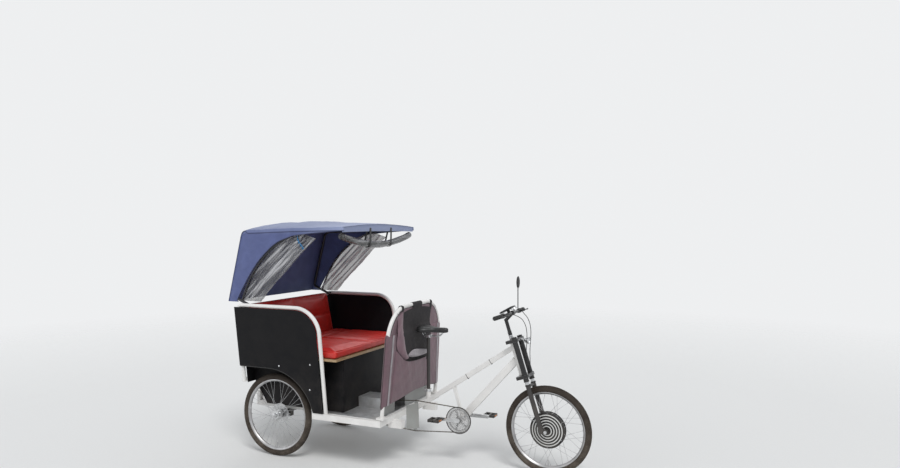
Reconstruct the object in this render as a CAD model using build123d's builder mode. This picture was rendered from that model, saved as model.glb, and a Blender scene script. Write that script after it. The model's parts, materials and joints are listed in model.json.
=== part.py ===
"""Cycle rickshaw: a bicycle front half joined to a two-seat passenger body under a cloth hood.

Millimetres. X runs forward, Y to the rider's left and Z up. The origin is on the ground
under the middle of the vehicle. Places along the vehicle are given ahead of the rear axle.
"""
import os
from math import acos, atan2, cos, degrees, pi, radians, sin, sqrt, tan

from build123d import *

os.makedirs("parts", exist_ok=True)

# Wheels and their places
wheelbase = 2120
rear_track = 940
tyre_r = 330
tyre_w = 50
rear_reach = 400
bead_depth = 49
rim_lip = 6
rim_w = 30
rim_wall = 2
rim_depth = 15
spoke_r = 1.4
spokes_per_flange = 18
axle_x = (rear_reach - wheelbase - tyre_r) / 2
bead_r = tyre_r - bead_depth

# Clearances
fit_gap = 0.3
run_gap = 6

# Platform, rails and body
floor_rear = 370
floor_front = 980
floor_half_w = 520
beam_h = 47
beam_w = 40
floor_rise = 62
floor_top = tyre_r + floor_rise
deck_t = 4
rail_y = 330
rail_h = 40
rail_rear = -300
cross_tube_rise = 208
cross_tube_z = floor_top + cross_tube_rise
post_depth = 30
stub_y = 300
stub_len = 78
stub_w = 50
stub_h = 60

# Side hoops and panels
hoop_r = 15.5
arm_rise = 826
arm_z = floor_top + arm_rise
arm_half_w = 620
hoop_front = 490
hoop_bend = 200
hoop_rear_bend = 60
panel_t = 5
arch_gap = 60
arch_r = tyre_r + arch_gap
arch_t = 3
well_gap = 25
well_half_w = (rear_track - tyre_w) / 2 - well_gap
well_t = 4
well_drop = 25
well_rear_z = cross_tube_z - well_drop

# Seat
seat_front = 600
seat_rise = 418
seat_board_z = floor_top + seat_rise
seat_board_t = 18
cushion_t = 72
cushion_rear = -110
backrest_t = 60
backrest_h = 400
backrest_lean = 12
backrest_edge = 18
back_drop = 18
back_top_z = arm_z - back_drop

# Front hoop and its cover
front_hoop_x = 965
front_hoop_lean = 3.5
front_hoop_half_w = 470
front_hoop_rise = 22
front_hoop_top = arm_z + front_hoop_rise
front_hoop_bend = 270
cover_rise = 78
cover_h = 560
cover_low = floor_top + cover_rise
cover_high = cover_low + cover_h
cover_t = 52
kick_h = 108
kick_z = floor_top + kick_h
slot_y = -120
slot_w = 180

# Bicycle frame
head_back = 203
head_run = 76
head_rise = 240
fork_room = 64
head_low = (wheelbase - head_back, 2 * tyre_r + fork_room)
head_high = (head_low[0] - head_run, head_low[1] + head_rise)
head_r = 21
steerer_r = 14.5
cup_h = 8
cup_t = 3
main_beam_w = 38
main_beam_drop = 34
main_beam_head_z = head_high[1] - main_beam_drop
main_beam_foot_drop = 41
main_beam_foot_z = floor_top - main_beam_foot_drop
down_tube_w = 38
down_tube_d = 56
down_tube_rise = 118
down_tube_head_z = head_low[1] + down_tube_rise
bracket_x = 1430
bracket_rise = 15
bracket_z = tyre_r + bracket_rise
bracket_r = 24
bracket_w = 72
spindle_r = 9
strut_w = 24
strut_run = 74
strut_sink = 2
post_x = 1130
post_r = 14
socket_r = 19
socket_h = 95
socket_depth = 60
saddle_rise = 655
saddle_z = bracket_z + saddle_rise
saddle_rear = 1044
saddle_len = 260
saddle_w = 200
saddle_nose_r = 26
saddle_h = 52
saddle_rail_r = 3.5
saddle_rail_y = 18
saddle_rail_drop = 30
saddle_clamp_h = 20
collar_h = 20
collar_t = 4

# Cranks, chain and pedals
crank_len = 170
crank_y = 102
crank_t = 14
crank_w = 30
ring_y = -80
ring_pitch_r = 95
ring_teeth = 46
guard_r = 104
chain_h = 8.5
chain_w = 8
sprocket_pitch_r = 46
idler_r = 20
idler_high = (1060, tyre_r + 110)
idler_low = (1050, tyre_r - 92)
pedal_len = 95
pedal_w = 90
pedal_t = 24
pedal_pin_r = 6

# Rear axle
axle_r = 20
stub_axle_r = 12
diff_r = 62
diff_w = 110
brake_disc_r = 80
hub_r = 20
hub_flange_r = 34
hub_flange_y = 26
hub_end = 46

# Steering, measured along and square to the head tube's axis
steer_tilt = degrees(atan2(head_low[0] - head_high[0], head_high[1] - head_low[1]))
head_len = sqrt((head_low[0] - head_high[0]) ** 2 + (head_high[1] - head_low[1]) ** 2)
leg_y = 66
leg_f = 44
upper_tube_r = 20
slider_r = 18
stanchion_r = 15
crown_t = 24
stem_r = 15
bar_f = 68
bar_h = 467
bar_r = 11
bar_half_w = 330
bar_sweep = 26
grip_len = 120
grip_r = 16
motor_r = 134
motor_half_w = 34
motor_cap_drop = 9
motor_rings = 5
motor_ring_w = 6
front_axle_r = 7
bell_r = 27
bell_stem = 14
lamp_arm = 38
mirror_y = 140
mirror_up = 190
cable_r = 2.5

# Hood
hood_half_w = arm_half_w - 40
hood_front = 700
hood_low = arm_z + 22
hood_rear_top = (-262, hood_low + 575)
hood_rear_round = 60
hood_cloth = 4
valance = 60
hood_tube_r = 11
brace_r = 8
curtain_t = 6
roll_r = 28
roll_half_w = 545
roll_mid_z = hood_low + 460
strap_w = 26
strap_t = 2
strap_y = 170


def at(ahead, left, up):
    """A place given ahead of the rear axle, left of the middle and above the ground."""
    return Vector(axle_x + ahead, left, up)


def save(piece, name):
    """Label a finished piece and write it to its own file."""
    piece.part.label = name
    export_step(piece.part, f"parts/{name}.step")


def side_view(left):
    """The vehicle's side view at a distance left of the middle: ahead is x and up is y."""
    return Plane(origin=(axle_x, left, 0), x_dir=(1, 0, 0), z_dir=(0, -1, 0))


def turn_plane(ahead, left, up):
    """A plane that holds a wheel's axis: x is the radius and y runs along the axis."""
    return Plane(origin=at(ahead, left, up), x_dir=(1, 0, 0), z_dir=(0, 0, 1))


def cross_axis(ahead, left, up):
    """The axis of a wheel or crank, across the vehicle."""
    return Axis(at(ahead, left, up), (0, 1, 0))


# The rear face of what is fitted between the hoops' rear legs, just ahead of the cross tube
body_rear = rail_rear + beam_w / 2 + hoop_r + fit_gap
inner_rear = body_rear + panel_t

lean = atan2(arm_half_w - floor_half_w + hoop_r, arm_z - floor_top)


def side_y(up):
    """How far out the leaning side of the body is at a height."""
    return floor_half_w - hoop_r + (up - floor_top) * tan(lean)


def lean_plane(side, out=0):
    """The leaning side's own plane: x runs ahead and y climbs the side from the floor."""
    origin = (axle_x, side * (side_y(floor_top) + out), floor_top)
    return Plane(origin=origin, x_dir=(1, 0, 0), z_dir=(0, -cos(lean), side * sin(lean)))


def climb(up):
    """The distance up the leaning side that reaches a height."""
    return (up - floor_top) / cos(lean)


def tangent_angle(first, second):
    """The direction from two wheels' centres to the belt between them, when the belt runs outside both."""
    run_x = second[0] - first[0]
    run_z = second[1] - first[1]
    return atan2(run_z, run_x) - acos((first[2] - second[2]) / sqrt(run_x**2 + run_z**2))


def belt_line(wheels, grow):
    """Draw the loop round a list of wheels, each given as x, z and radius, this far outside them."""
    count = len(wheels)
    for i in range(count):
        before, wheel, after = (wheels[(i + step) % count] for step in (-1, 0, 1))
        angle_in = tangent_angle(before, wheel)
        angle_out = tangent_angle(wheel, after)
        middle = angle_in + ((angle_out - angle_in) % (2 * pi)) / 2
        rim_points = [
            (wheel[0] + (wheel[2] + grow) * cos(angle), wheel[1] + (wheel[2] + grow) * sin(angle))
            for angle in (angle_in, middle, angle_out)
        ]
        ThreePointArc(*rim_points)
        reach = after[2] + grow
        Line(rim_points[2], (after[0] + reach * cos(angle_out), after[1] + reach * sin(angle_out)))


# The steering's own plane: x is square to the axis and ahead, z climbs the head tube
steer = Plane(
    origin=at(head_low[0], 0, head_low[1]),
    x_dir=(cos(radians(steer_tilt)), 0, sin(radians(steer_tilt))),
    z_dir=(-sin(radians(steer_tilt)), 0, cos(radians(steer_tilt))),
)
hub_place = steer.to_local_coords(at(wheelbase, 0, tyre_r))
hub_f = hub_place.X
hub_h = hub_place.Z

SIDES = (("right", -1), ("left", 1))

# Tyres and spoked rims. Each row: name, ahead, left, flange radius, flange half gap, spoke lead
WHEELS = (
    ("front", wheelbase, 0, motor_r - 2, motor_half_w - 14, 20),
    ("rear_right", 0, -rear_track / 2, hub_flange_r - 4, hub_flange_y, 60),
    ("rear_left", 0, rear_track / 2, hub_flange_r - 4, hub_flange_y, 60),
)
for name, ahead, left, flange_r, flange_y, lead in WHEELS:
    with BuildPart() as tyre:
        with BuildSketch(turn_plane(ahead, left, tyre_r)):
            with Locations((tyre_r - tyre_w / 2, 0)):
                Circle(tyre_w / 2)
            with Locations(((bead_r - tyre_w) / 2 + rim_lip, 0)):
                Rectangle(bead_r + tyre_w, rim_w, mode=Mode.SUBTRACT)
            with Locations((bead_r / 2, 0)):
                Rectangle(bead_r, tyre_w, mode=Mode.SUBTRACT)
        revolve(axis=cross_axis(ahead, left, tyre_r))
    save(tyre, f"tyre_{name}")

    # Each spoke runs from a hole in a hub flange to the rim, ahead of or behind its own hole
    planes = []
    for flange in (-1, 1):
        for k in range(spokes_per_flange):
            start_angle = radians((k + flange / 4) * 360 / spokes_per_flange)
            end_angle = start_angle + radians(lead if k % 2 else -lead)
            start = Vector(flange_r * cos(start_angle), flange * flange_y, flange_r * sin(start_angle))
            end_r = bead_r - rim_depth + 1
            end = Vector(end_r * cos(end_angle), flange * rim_w / 8, end_r * sin(end_angle))
            planes.append(Plane(origin=at(ahead, left, tyre_r) + start, z_dir=end - start))
            spoke_len = (end - start).length
    with BuildPart() as rim:
        with BuildSketch(turn_plane(ahead, left, tyre_r)):
            with BuildLine():
                Polyline(
                    (bead_r + rim_lip, rim_w / 2),
                    (bead_r - rim_wall, rim_w / 2),
                    (bead_r - rim_depth, rim_w / 4),
                    (bead_r - rim_depth, -rim_w / 4),
                    (bead_r - rim_wall, -rim_w / 2),
                    (bead_r + rim_lip, -rim_w / 2),
                    (bead_r + rim_lip, -rim_w / 2 + rim_wall),
                    (bead_r, -rim_w / 2 + rim_wall),
                    (bead_r, rim_w / 2 - rim_wall),
                    (bead_r + rim_lip, rim_w / 2 - rim_wall),
                    close=True,
                )
            make_face()
        revolve(axis=cross_axis(ahead, left, tyre_r))
        with BuildSketch(*planes):
            RegularPolygon(spoke_r, 4)
        extrude(amount=spoke_len)
        with BuildSketch(turn_plane(ahead, left, tyre_r)):
            if name == "front":
                with Locations((motor_r - 4, flange_y), (motor_r - 4, -flange_y)):
                    Rectangle(7, 4)
            else:
                outer = -1 if left < 0 else 1
                with Locations((hub_r / 2 + stub_axle_r / 2 + fit_gap / 2, 0)):
                    Rectangle(hub_r - stub_axle_r - fit_gap, 2 * hub_flange_y + 8)
                flange_mid = (hub_flange_r + hub_r) / 2 - 1
                with Locations((flange_mid, hub_flange_y), (flange_mid, -hub_flange_y)):
                    Rectangle(hub_flange_r - hub_r + 2, 4)
                cap_start = hub_flange_y + 4
                with Locations((hub_r / 2, outer * (cap_start + hub_end) / 2)):
                    Rectangle(hub_r, hub_end - cap_start)
        revolve(axis=cross_axis(ahead, left, tyre_r))
    save(rim, f"spoked_rim_{name}")

# Hub motor: a flat drum with shallow ringed covers, turning on the front axle
with BuildPart() as hub_motor:
    with BuildSketch(turn_plane(wheelbase, 0, tyre_r)):
        with BuildLine():
            Polyline(
                (front_axle_r + fit_gap, motor_half_w),
                (motor_r * 0.35, motor_half_w),
                (motor_r * 0.9, motor_half_w - motor_cap_drop),
                (motor_r - 8, motor_half_w - 16),
                (motor_r - 8, -motor_half_w + 16),
                (motor_r * 0.9, -motor_half_w + motor_cap_drop),
                (motor_r * 0.35, -motor_half_w),
                (front_axle_r + fit_gap, -motor_half_w),
                close=True,
            )
        make_face()
        for k in range(motor_rings):
            ring_share = (k + 0.5) / motor_rings
            ring_r = motor_r * (0.35 + 0.55 * ring_share)
            ring_across = motor_half_w - motor_cap_drop * ring_share
            with Locations((ring_r, ring_across), (ring_r, -ring_across)):
                Rectangle(motor_ring_w, 2)
    revolve(axis=cross_axis(wheelbase, 0, tyre_r))
save(hub_motor, "hub_motor")

# Rear brake discs, bolted to the inner ends of the hubs
for name, side in SIDES:
    with BuildPart() as brake_disc:
        disc_in = side * (rear_track / 2 - hub_flange_y - 4)
        with BuildSketch(turn_plane(0, disc_in, tyre_r)):
            with Locations((stub_axle_r + fit_gap + 6, -side * 6)):
                Rectangle(12, 12)
            with Locations((brake_disc_r / 2 + 10, -side * 10)):
                Rectangle(brake_disc_r - 20, 3)
        revolve(axis=cross_axis(0, disc_in, tyre_r))
    save(brake_disc, f"brake_disc_{name}")

# Rear axle: a tube with a differential housing, a sprocket and a stub in each hub
with BuildPart() as rear_axle:
    tube_end = rear_track / 2 - hub_flange_y - 24
    stub_end = rear_track / 2 + hub_flange_y + 2
    with BuildSketch(side_view(0)):
        with Locations((0, tyre_r)):
            Circle(axle_r)
    extrude(amount=tube_end, both=True)
    with BuildSketch(side_view(0)):
        with Locations((0, tyre_r)):
            Circle(stub_axle_r)
    extrude(amount=stub_end, both=True)
    with BuildSketch(side_view(diff_w / 2 + 20)):
        with Locations((0, tyre_r)):
            Circle(diff_r)
    extrude(amount=diff_w)
    chamfer(rear_axle.edges().filter_by(GeomType.CIRCLE).sort_by(SortBy.RADIUS)[-2:], 14)
    with BuildSketch(side_view(ring_y + 2)):
        with Locations((0, tyre_r)):
            Circle(sprocket_pitch_r - chain_h / 2 - fit_gap)
    extrude(amount=4)
save(rear_axle, "rear_axle")

with BuildPart() as axle_clamps:
    for side in (-1, 1):
        with BuildSketch(side_view(side * rail_y + 18)):
            with Locations((0, (tyre_r - 38 + floor_top - rail_h) / 2)):
                Rectangle(86, floor_top - rail_h - tyre_r + 38)
            with Locations((0, tyre_r)):
                Circle(axle_r, mode=Mode.SUBTRACT)
        extrude(amount=36)
save(axle_clamps, "axle_clamps")

# Floor frame: white edge beams round the platform, rails to the rear and the rear cross tube
floor_mid = (floor_rear + floor_front) / 2
beam_z = floor_top - beam_h / 2
with BuildPart() as floor_frame:
    with BuildSketch(Plane(origin=at(floor_mid, 0, floor_top - beam_h))):
        Rectangle(floor_front - floor_rear, 2 * floor_half_w)
        Rectangle(floor_front - floor_rear - 2 * beam_w, 2 * floor_half_w - 2 * beam_w, mode=Mode.SUBTRACT)
        for side in (-1, 1):
            with Locations((0, side * rail_y / 2)):
                Rectangle(floor_front - floor_rear, beam_w)
    extrude(amount=beam_h)
    with BuildSketch(Plane(origin=at((rail_rear + floor_rear) / 2, 0, floor_top - rail_h))):
        for side in (-1, 1):
            with Locations((0, side * rail_y)):
                Rectangle(floor_rear - rail_rear, beam_w)
        with Locations(((rail_rear - floor_rear + beam_w) / 2, 0)):
            Rectangle(beam_w, 2 * rail_y)
    extrude(amount=rail_h)
    with BuildSketch(Plane(origin=at(rail_rear + post_depth / 2, 0, floor_top))):
        for side in (-1, 1):
            with Locations((0, side * rail_y)):
                Rectangle(post_depth, beam_w)
    extrude(amount=cross_tube_z - floor_top)
    with BuildSketch(side_view(0)):
        with Locations((rail_rear + beam_w / 2, cross_tube_z)):
            Circle(hoop_r)
    extrude(amount=side_y(cross_tube_z - hoop_r) - hoop_r - fit_gap, both=True)
    with BuildSketch(Plane(origin=at(floor_front - beam_w / 2, 0, floor_top - beam_h - stub_h + 10))):
        for side in (-1, 1):
            with Locations((stub_len / 2, side * stub_y)):
                Rectangle(stub_len + beam_w, stub_w)
    extrude(amount=stub_h)
save(floor_frame, "floor_frame")

with BuildPart() as floor_deck:
    with BuildSketch(Plane(origin=at(floor_mid, 0, floor_top))):
        Rectangle(floor_front - floor_rear - 70, 2 * (floor_half_w - 2 * hoop_r - deck_t))
    extrude(amount=deck_t)
save(floor_deck, "floor_deck")

# Chain tunnel: a low cover over the chain's upper run
tunnel_top = floor_top + 86
with BuildPart() as chain_tunnel:
    with BuildSketch(Plane(origin=at(seat_front + panel_t, 0, 0), x_dir=(0, 1, 0), z_dir=(1, 0, 0))):
        with Locations((slot_y, (floor_top + deck_t + tunnel_top) / 2)):
            Rectangle(slot_w, tunnel_top - floor_top - deck_t)
        with Locations((slot_y, (floor_top + tunnel_top) / 2 - 2)):
            Rectangle(slot_w - 6, tunnel_top - floor_top - 2, mode=Mode.SUBTRACT)
    extrude(amount=floor_front - 50 - seat_front - panel_t)
save(chain_tunnel, "chain_tunnel")

# Seat tub: front panel, inner wheel-well panels and back panel
chain_gap = 20
with BuildPart() as seat_front_panel:
    with BuildSketch(Plane(origin=at(seat_front - panel_t, 0, 0), x_dir=(0, 1, 0), z_dir=(1, 0, 0))):
        with Locations((0, (floor_top + deck_t + seat_board_z) / 2)):
            Rectangle(2 * well_half_w, seat_board_z - floor_top - deck_t)
        with Locations((ring_y, floor_top + 30)):
            Rectangle(2 * chain_gap + chain_w, 60 + deck_t, mode=Mode.SUBTRACT)
    extrude(amount=panel_t)
save(seat_front_panel, "seat_front_panel")

with BuildPart() as well_panels:
    for side in (-1, 1):
        with BuildSketch(side_view(side * well_half_w + (well_t if side > 0 else 0))):
            with BuildLine():
                Polyline(
                    (inner_rear, well_rear_z),
                    (-arch_r * 0.35, floor_top + deck_t),
                    (seat_front - panel_t, floor_top + deck_t),
                    (seat_front - panel_t, seat_board_z),
                    (inner_rear, seat_board_z),
                    close=True,
                )
            make_face()
        extrude(amount=well_t)
save(well_panels, "well_panels")

# Wheel-arch shells: the strip that bends over and ahead of each rear wheel
arch_top = tyre_r + arch_r
arch_foot = sqrt(arch_r**2 - (floor_top + deck_t - tyre_r) ** 2)
arch_in = well_half_w + well_t
arch_out = side_y(arch_top) + 2 * hoop_r
with BuildPart() as wheel_arches:
    for side in (-1, 1):
        with BuildSketch(side_view(-arch_in if side < 0 else arch_out)):
            with BuildLine():
                Line((inner_rear, arch_top), (0, arch_top))
                ThreePointArc(
                    (0, arch_top),
                    (arch_r * sin(radians(45)), tyre_r + arch_r * cos(radians(45))),
                    (arch_foot, floor_top + deck_t),
                )
                Line((arch_foot, floor_top + deck_t), (arch_foot + arch_t, floor_top + deck_t))
                ThreePointArc(
                    (arch_foot + arch_t, floor_top + deck_t),
                    ((arch_r + arch_t) * sin(radians(45)), tyre_r + (arch_r + arch_t) * cos(radians(45))),
                    (0, arch_top + arch_t),
                )
                Line((0, arch_top + arch_t), (inner_rear, arch_top + arch_t))
                Line((inner_rear, arch_top + arch_t), (inner_rear, arch_top))
            make_face()
        extrude(amount=arch_out - arch_in)
        split(bisect_by=lean_plane(side, hoop_r), keep=Keep.TOP if side > 0 else Keep.BOTTOM)
save(wheel_arches, "wheel_arches")

# Side panels, cut round the wheel arch, and the white hoops that carry them
with BuildPart() as side_hoops:
    for side in (-1, 1):
        with BuildLine(lean_plane(side)) as hoop_line:
            corner_rear = (rail_rear + beam_w / 2, climb(arm_z))
            corner_front = (hoop_front, climb(arm_z))
            foot_rear = climb(cross_tube_z - hoop_r)
            Line((corner_rear[0], foot_rear), (corner_rear[0], corner_rear[1] - hoop_rear_bend))
            RadiusArc(
                (corner_rear[0], corner_rear[1] - hoop_rear_bend),
                (corner_rear[0] + hoop_rear_bend, corner_rear[1]),
                hoop_rear_bend,
            )
            bend_start = (corner_front[0] - hoop_bend, corner_front[1])
            Line((corner_rear[0] + hoop_rear_bend, corner_rear[1]), bend_start)
            RadiusArc(bend_start, (corner_front[0], corner_front[1] - hoop_bend), hoop_bend)
            Line((corner_front[0], corner_front[1] - hoop_bend), (corner_front[0], -20))
        with BuildSketch(Plane(origin=hoop_line.wires()[0] @ 0, z_dir=hoop_line.wires()[0] % 0)):
            Circle(hoop_r)
        sweep()
        split(bisect_by=Plane.XY.offset(floor_top), keep=Keep.TOP)
save(side_hoops, "side_hoops")

with BuildPart() as side_panels:
    for side in (-1, 1):
        top = climb(arm_z) - hoop_r - fit_gap
        front = hoop_front - hoop_r - fit_gap
        rear = body_rear - 2 * hoop_r
        bend = hoop_bend - hoop_r
        with BuildSketch(lean_plane(side, (hoop_r + fit_gap) / cos(lean))):
            with BuildLine():
                Line((rear, climb(arch_top)), (rear, top))
                Line((rear, top), (front - bend, top))
                RadiusArc((front - bend, top), (front, top - bend), bend)
                Line((front, top - bend), (front, climb(floor_top + deck_t)))
                Line((front, climb(floor_top + deck_t)), (arch_foot, climb(floor_top + deck_t)))
                ThreePointArc(
                    (arch_foot, climb(floor_top + deck_t)),
                    (arch_r * sin(radians(45)), climb(tyre_r + arch_r * cos(radians(45)))),
                    (0, climb(arch_top)),
                )
                Line((0, climb(arch_top)), (rear, climb(arch_top)))
            make_face()
        extrude(amount=-side * panel_t)
save(side_panels, "side_panels")

# Back panel, between the hoops' rear legs
back_low = well_rear_z
with BuildPart() as back_panel:
    with BuildSketch(Plane(origin=at(body_rear, 0, 0), x_dir=(0, 1, 0), z_dir=(1, 0, 0))):
        with BuildLine():
            Polyline(
                (side_y(back_low) - hoop_r - 1, back_low),
                (side_y(back_top_z) - hoop_r - 1, back_top_z),
                (-side_y(back_top_z) + hoop_r + 1, back_top_z),
                (-side_y(back_low) + hoop_r + 1, back_low),
                close=True,
            )
        make_face()
    extrude(amount=panel_t)
save(back_panel, "back_panel")

# Seat board and the two red cushions
seat_half_w = side_y(seat_board_z) - hoop_r - 1
seat_top = seat_board_z + seat_board_t
with BuildPart() as seat_board:
    with BuildSketch(Plane(origin=at((inner_rear + seat_front + 12) / 2, 0, seat_board_z))):
        RectangleRounded(seat_front + 12 - inner_rear, 2 * seat_half_w, 12)
    extrude(amount=seat_board_t)
save(seat_board, "seat_board")

with BuildPart() as seat_cushion:
    with BuildSketch(Plane(origin=at((cushion_rear + seat_front) / 2, 0, seat_top + fit_gap))):
        RectangleRounded(seat_front - cushion_rear, 2 * seat_half_w - 20, 40)
    extrude(amount=cushion_t)
    fillet(seat_cushion.faces().sort_by(Axis.Z)[-1].edges(), 20)
save(seat_cushion, "seat_cushion")

back_sin = sin(radians(backrest_lean))
back_cos = cos(radians(backrest_lean))
edge_loss = backrest_edge * (back_cos + back_sin - 1)
backrest_plane = Plane(
    origin=at(cushion_rear - fit_gap + edge_loss, 0, seat_top + backrest_t * back_sin + fit_gap - edge_loss),
    x_dir=(0, 1, 0),
    z_dir=(back_cos, 0, back_sin),
)
with BuildPart() as backrest_cushion:
    with BuildSketch(backrest_plane):
        with Locations((0, backrest_h / 2)):
            RectangleRounded(2 * seat_half_w - 20, backrest_h, 40)
    extrude(amount=-backrest_t)
    fillet(backrest_cushion.faces().sort_by(SortBy.AREA)[-2:].edges(), backrest_edge)
save(backrest_cushion, "backrest_cushion")

# Front hoop, leaning a little forward, with the fabric cover stretched over its lower half
hoop_sin = sin(radians(front_hoop_lean))
hoop_cos = cos(radians(front_hoop_lean))
front_hoop_plane = Plane(
    origin=at(front_hoop_x, 0, floor_top),
    x_dir=(0, 1, 0),
    z_dir=(hoop_cos, 0, -hoop_sin),
)


def front_hoop_solid(radius):
    """The front hoop's tube at a radius, trimmed flat at the floor."""
    height = (front_hoop_top - floor_top) / hoop_cos - hoop_r
    with BuildPart() as hoop:
        with BuildLine(front_hoop_plane) as line:
            FilletPolyline(
                (-front_hoop_half_w, -30),
                (-front_hoop_half_w + 30, height),
                (front_hoop_half_w - 30, height),
                (front_hoop_half_w, -30),
                radius=front_hoop_bend,
            )
        with BuildSketch(Plane(origin=line.wires()[0] @ 0, z_dir=line.wires()[0] % 0)):
            Circle(radius)
        sweep()
        split(bisect_by=Plane.XY.offset(floor_top), keep=Keep.TOP)
    return hoop.part


hoop_tube = front_hoop_solid(hoop_r)
hoop_room = front_hoop_solid(hoop_r + fit_gap)
with BuildPart() as front_hoop:
    add(hoop_tube)
    with BuildSketch(Plane(origin=at(front_hoop_x, 0, floor_top + deck_t))):
        with Locations((0, front_hoop_half_w), (0, -front_hoop_half_w)):
            RectangleRounded(64, 72, 8)
    extrude(amount=14)
save(front_hoop, "front_hoop")

cover_half_w = front_hoop_half_w + hoop_r + 8
with BuildPart() as front_cover:
    with BuildSketch(front_hoop_plane):
        with BuildLine():
            low = (cover_low - floor_top) / hoop_cos
            high = (cover_high - floor_top) / hoop_cos
            Line((-cover_half_w, low), (-cover_half_w + 22, high))
            Line((-cover_half_w + 22, high), (cover_half_w - 22, high))
            Line((cover_half_w - 22, high), (cover_half_w, low))
            ThreePointArc((cover_half_w, low), (0, low + 45), (-cover_half_w, low))
        make_face()
    extrude(amount=cover_t / 2, both=True)
    fillet(front_cover.edges().filter_by(Axis.Y), 12)
    add(hoop_room, mode=Mode.SUBTRACT)
save(front_cover, "front_cover")

kick_x = floor_front - 50
with BuildPart() as kick_plate:
    with BuildSketch(Plane(origin=at(kick_x + fit_gap, 0, 0), x_dir=(0, 1, 0), z_dir=(1, 0, 0))):
        with Locations((0, (floor_top + deck_t + kick_z) / 2)):
            Rectangle(2 * front_hoop_half_w - 90, kick_z - floor_top - deck_t)
        with Locations((slot_y, (floor_top + deck_t + kick_z) / 2)):
            Rectangle(slot_w - 6, kick_z - floor_top, mode=Mode.SUBTRACT)
    extrude(amount=3)
save(kick_plate, "kick_plate")

# Bicycle frame: head tube, main beam with the seat socket, down tube with the bracket shell, strut
with BuildPart(steer) as head_core:
    Cylinder(head_r, head_len, align=(Align.CENTER, Align.CENTER, Align.MIN))

with BuildPart(steer) as head_tube:
    Cylinder(head_r, head_len, align=(Align.CENTER, Align.CENTER, Align.MIN))
    with Locations((0, 0, 0), (0, 0, head_len - cup_h)):
        Cylinder(head_r + cup_t, cup_h, align=(Align.CENTER, Align.CENTER, Align.MIN))
    Cylinder(steerer_r + fit_gap, head_len, align=(Align.CENTER, Align.CENTER, Align.MIN), mode=Mode.SUBTRACT)
save(head_tube, "head_tube")


def on_head_axis(up):
    """The point of the steering axis at a height."""
    share = (up - head_low[1]) / (head_high[1] - head_low[1])
    return at(head_low[0] + share * (head_high[0] - head_low[0]), 0, up)


beam_start = on_head_axis(main_beam_head_z)
beam_foot = at(floor_front, 0, main_beam_foot_z)
slope = atan2(beam_start.Z - beam_foot.Z, beam_start.X - beam_foot.X)
beam_dir = Vector(-cos(slope), 0, -sin(slope))


def beam_z_at(ahead):
    """The height of the main beam's middle at a distance ahead of the rear axle."""
    return beam_start.Z - (beam_start.X - axle_x - ahead) * tan(slope)


socket_top = beam_z_at(post_x) + socket_h
with BuildPart() as main_beam:
    with BuildSketch(Plane(origin=beam_start, x_dir=(0, 1, 0), z_dir=beam_dir)):
        RectangleRounded(main_beam_w, main_beam_w, 5)
    extrude(amount=wheelbase - floor_front)
    add(head_core.part, mode=Mode.SUBTRACT)
    split(bisect_by=Plane(origin=at(floor_front + fit_gap, 0, 0), z_dir=(1, 0, 0)), keep=Keep.TOP)
    with BuildSketch(Plane(origin=at(post_x, 0, beam_z_at(post_x)))):
        Circle(socket_r)
    extrude(amount=socket_top - beam_z_at(post_x))
    with BuildSketch(Plane(origin=at(post_x, 0, socket_top))):
        Circle(post_r + fit_gap)
    extrude(amount=-socket_depth, mode=Mode.SUBTRACT)
save(main_beam, "main_beam")

bracket = at(bracket_x, 0, bracket_z)
down_dir = (bracket - on_head_axis(down_tube_head_z)).normalized()
with BuildPart() as down_tube:
    down_start = on_head_axis(down_tube_head_z) + down_dir * 12
    with BuildSketch(Plane(origin=down_start, x_dir=(0, 1, 0), z_dir=down_dir)):
        RectangleRounded(down_tube_w, down_tube_d, 8)
    extrude(amount=(bracket - down_start).length)
    add(head_core.part, mode=Mode.SUBTRACT)
    with BuildSketch(side_view(0)):
        with Locations((bracket_x, bracket_z)):
            Circle(bracket_r)
    extrude(amount=bracket_w / 2, both=True)
    with BuildSketch(side_view(0)):
        with Locations((bracket_x, bracket_z)):
            Circle(spindle_r + fit_gap)
    extrude(amount=bracket_w, both=True, mode=Mode.SUBTRACT)
save(down_tube, "down_tube")

with BuildPart() as frame_strut:
    strut_x = bracket_x - strut_run
    strut_start = at(strut_x, 0, beam_z_at(strut_x) - main_beam_w / 2 + strut_sink)
    with BuildSketch(Plane(origin=strut_start, x_dir=(0, 1, 0), z_dir=bracket - strut_start)):
        RectangleRounded(strut_w, strut_w, 4)
    extrude(amount=(bracket - strut_start).length)
    add(main_beam.part, mode=Mode.SUBTRACT)
    add(down_tube.part, mode=Mode.SUBTRACT)
    with BuildSketch(side_view(0)):
        with Locations((bracket_x, bracket_z)):
            Circle(bracket_r)
    extrude(amount=bracket_w / 2, both=True, mode=Mode.SUBTRACT)
save(frame_strut, "frame_strut")

rails_z = saddle_z - saddle_rail_drop
post_low = socket_top - socket_depth + fit_gap
with BuildPart() as seat_post:
    with BuildSketch(Plane(origin=at(post_x, 0, post_low))):
        Circle(post_r)
    extrude(amount=rails_z - saddle_clamp_h / 2 - post_low)
save(seat_post, "seat_post")

# Collar that closes the socket round the post, with its bolt across a pair of ears behind it
with BuildPart() as seat_clamp:
    with BuildSketch(Plane(origin=at(post_x, 0, socket_top - collar_h))):
        Circle(socket_r + fit_gap + collar_t)
        for side in (-1, 1):
            with Locations((-socket_r - collar_t - 5, side * 5)):
                Rectangle(18, 6)
        Circle(socket_r + fit_gap, mode=Mode.SUBTRACT)
    extrude(amount=collar_h)
    with BuildSketch(side_view(13)):
        with Locations((post_x - socket_r - collar_t - 7, socket_top - collar_h / 2)):
            Circle(4)
    extrude(amount=26)
save(seat_clamp, "seat_clamp")

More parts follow.
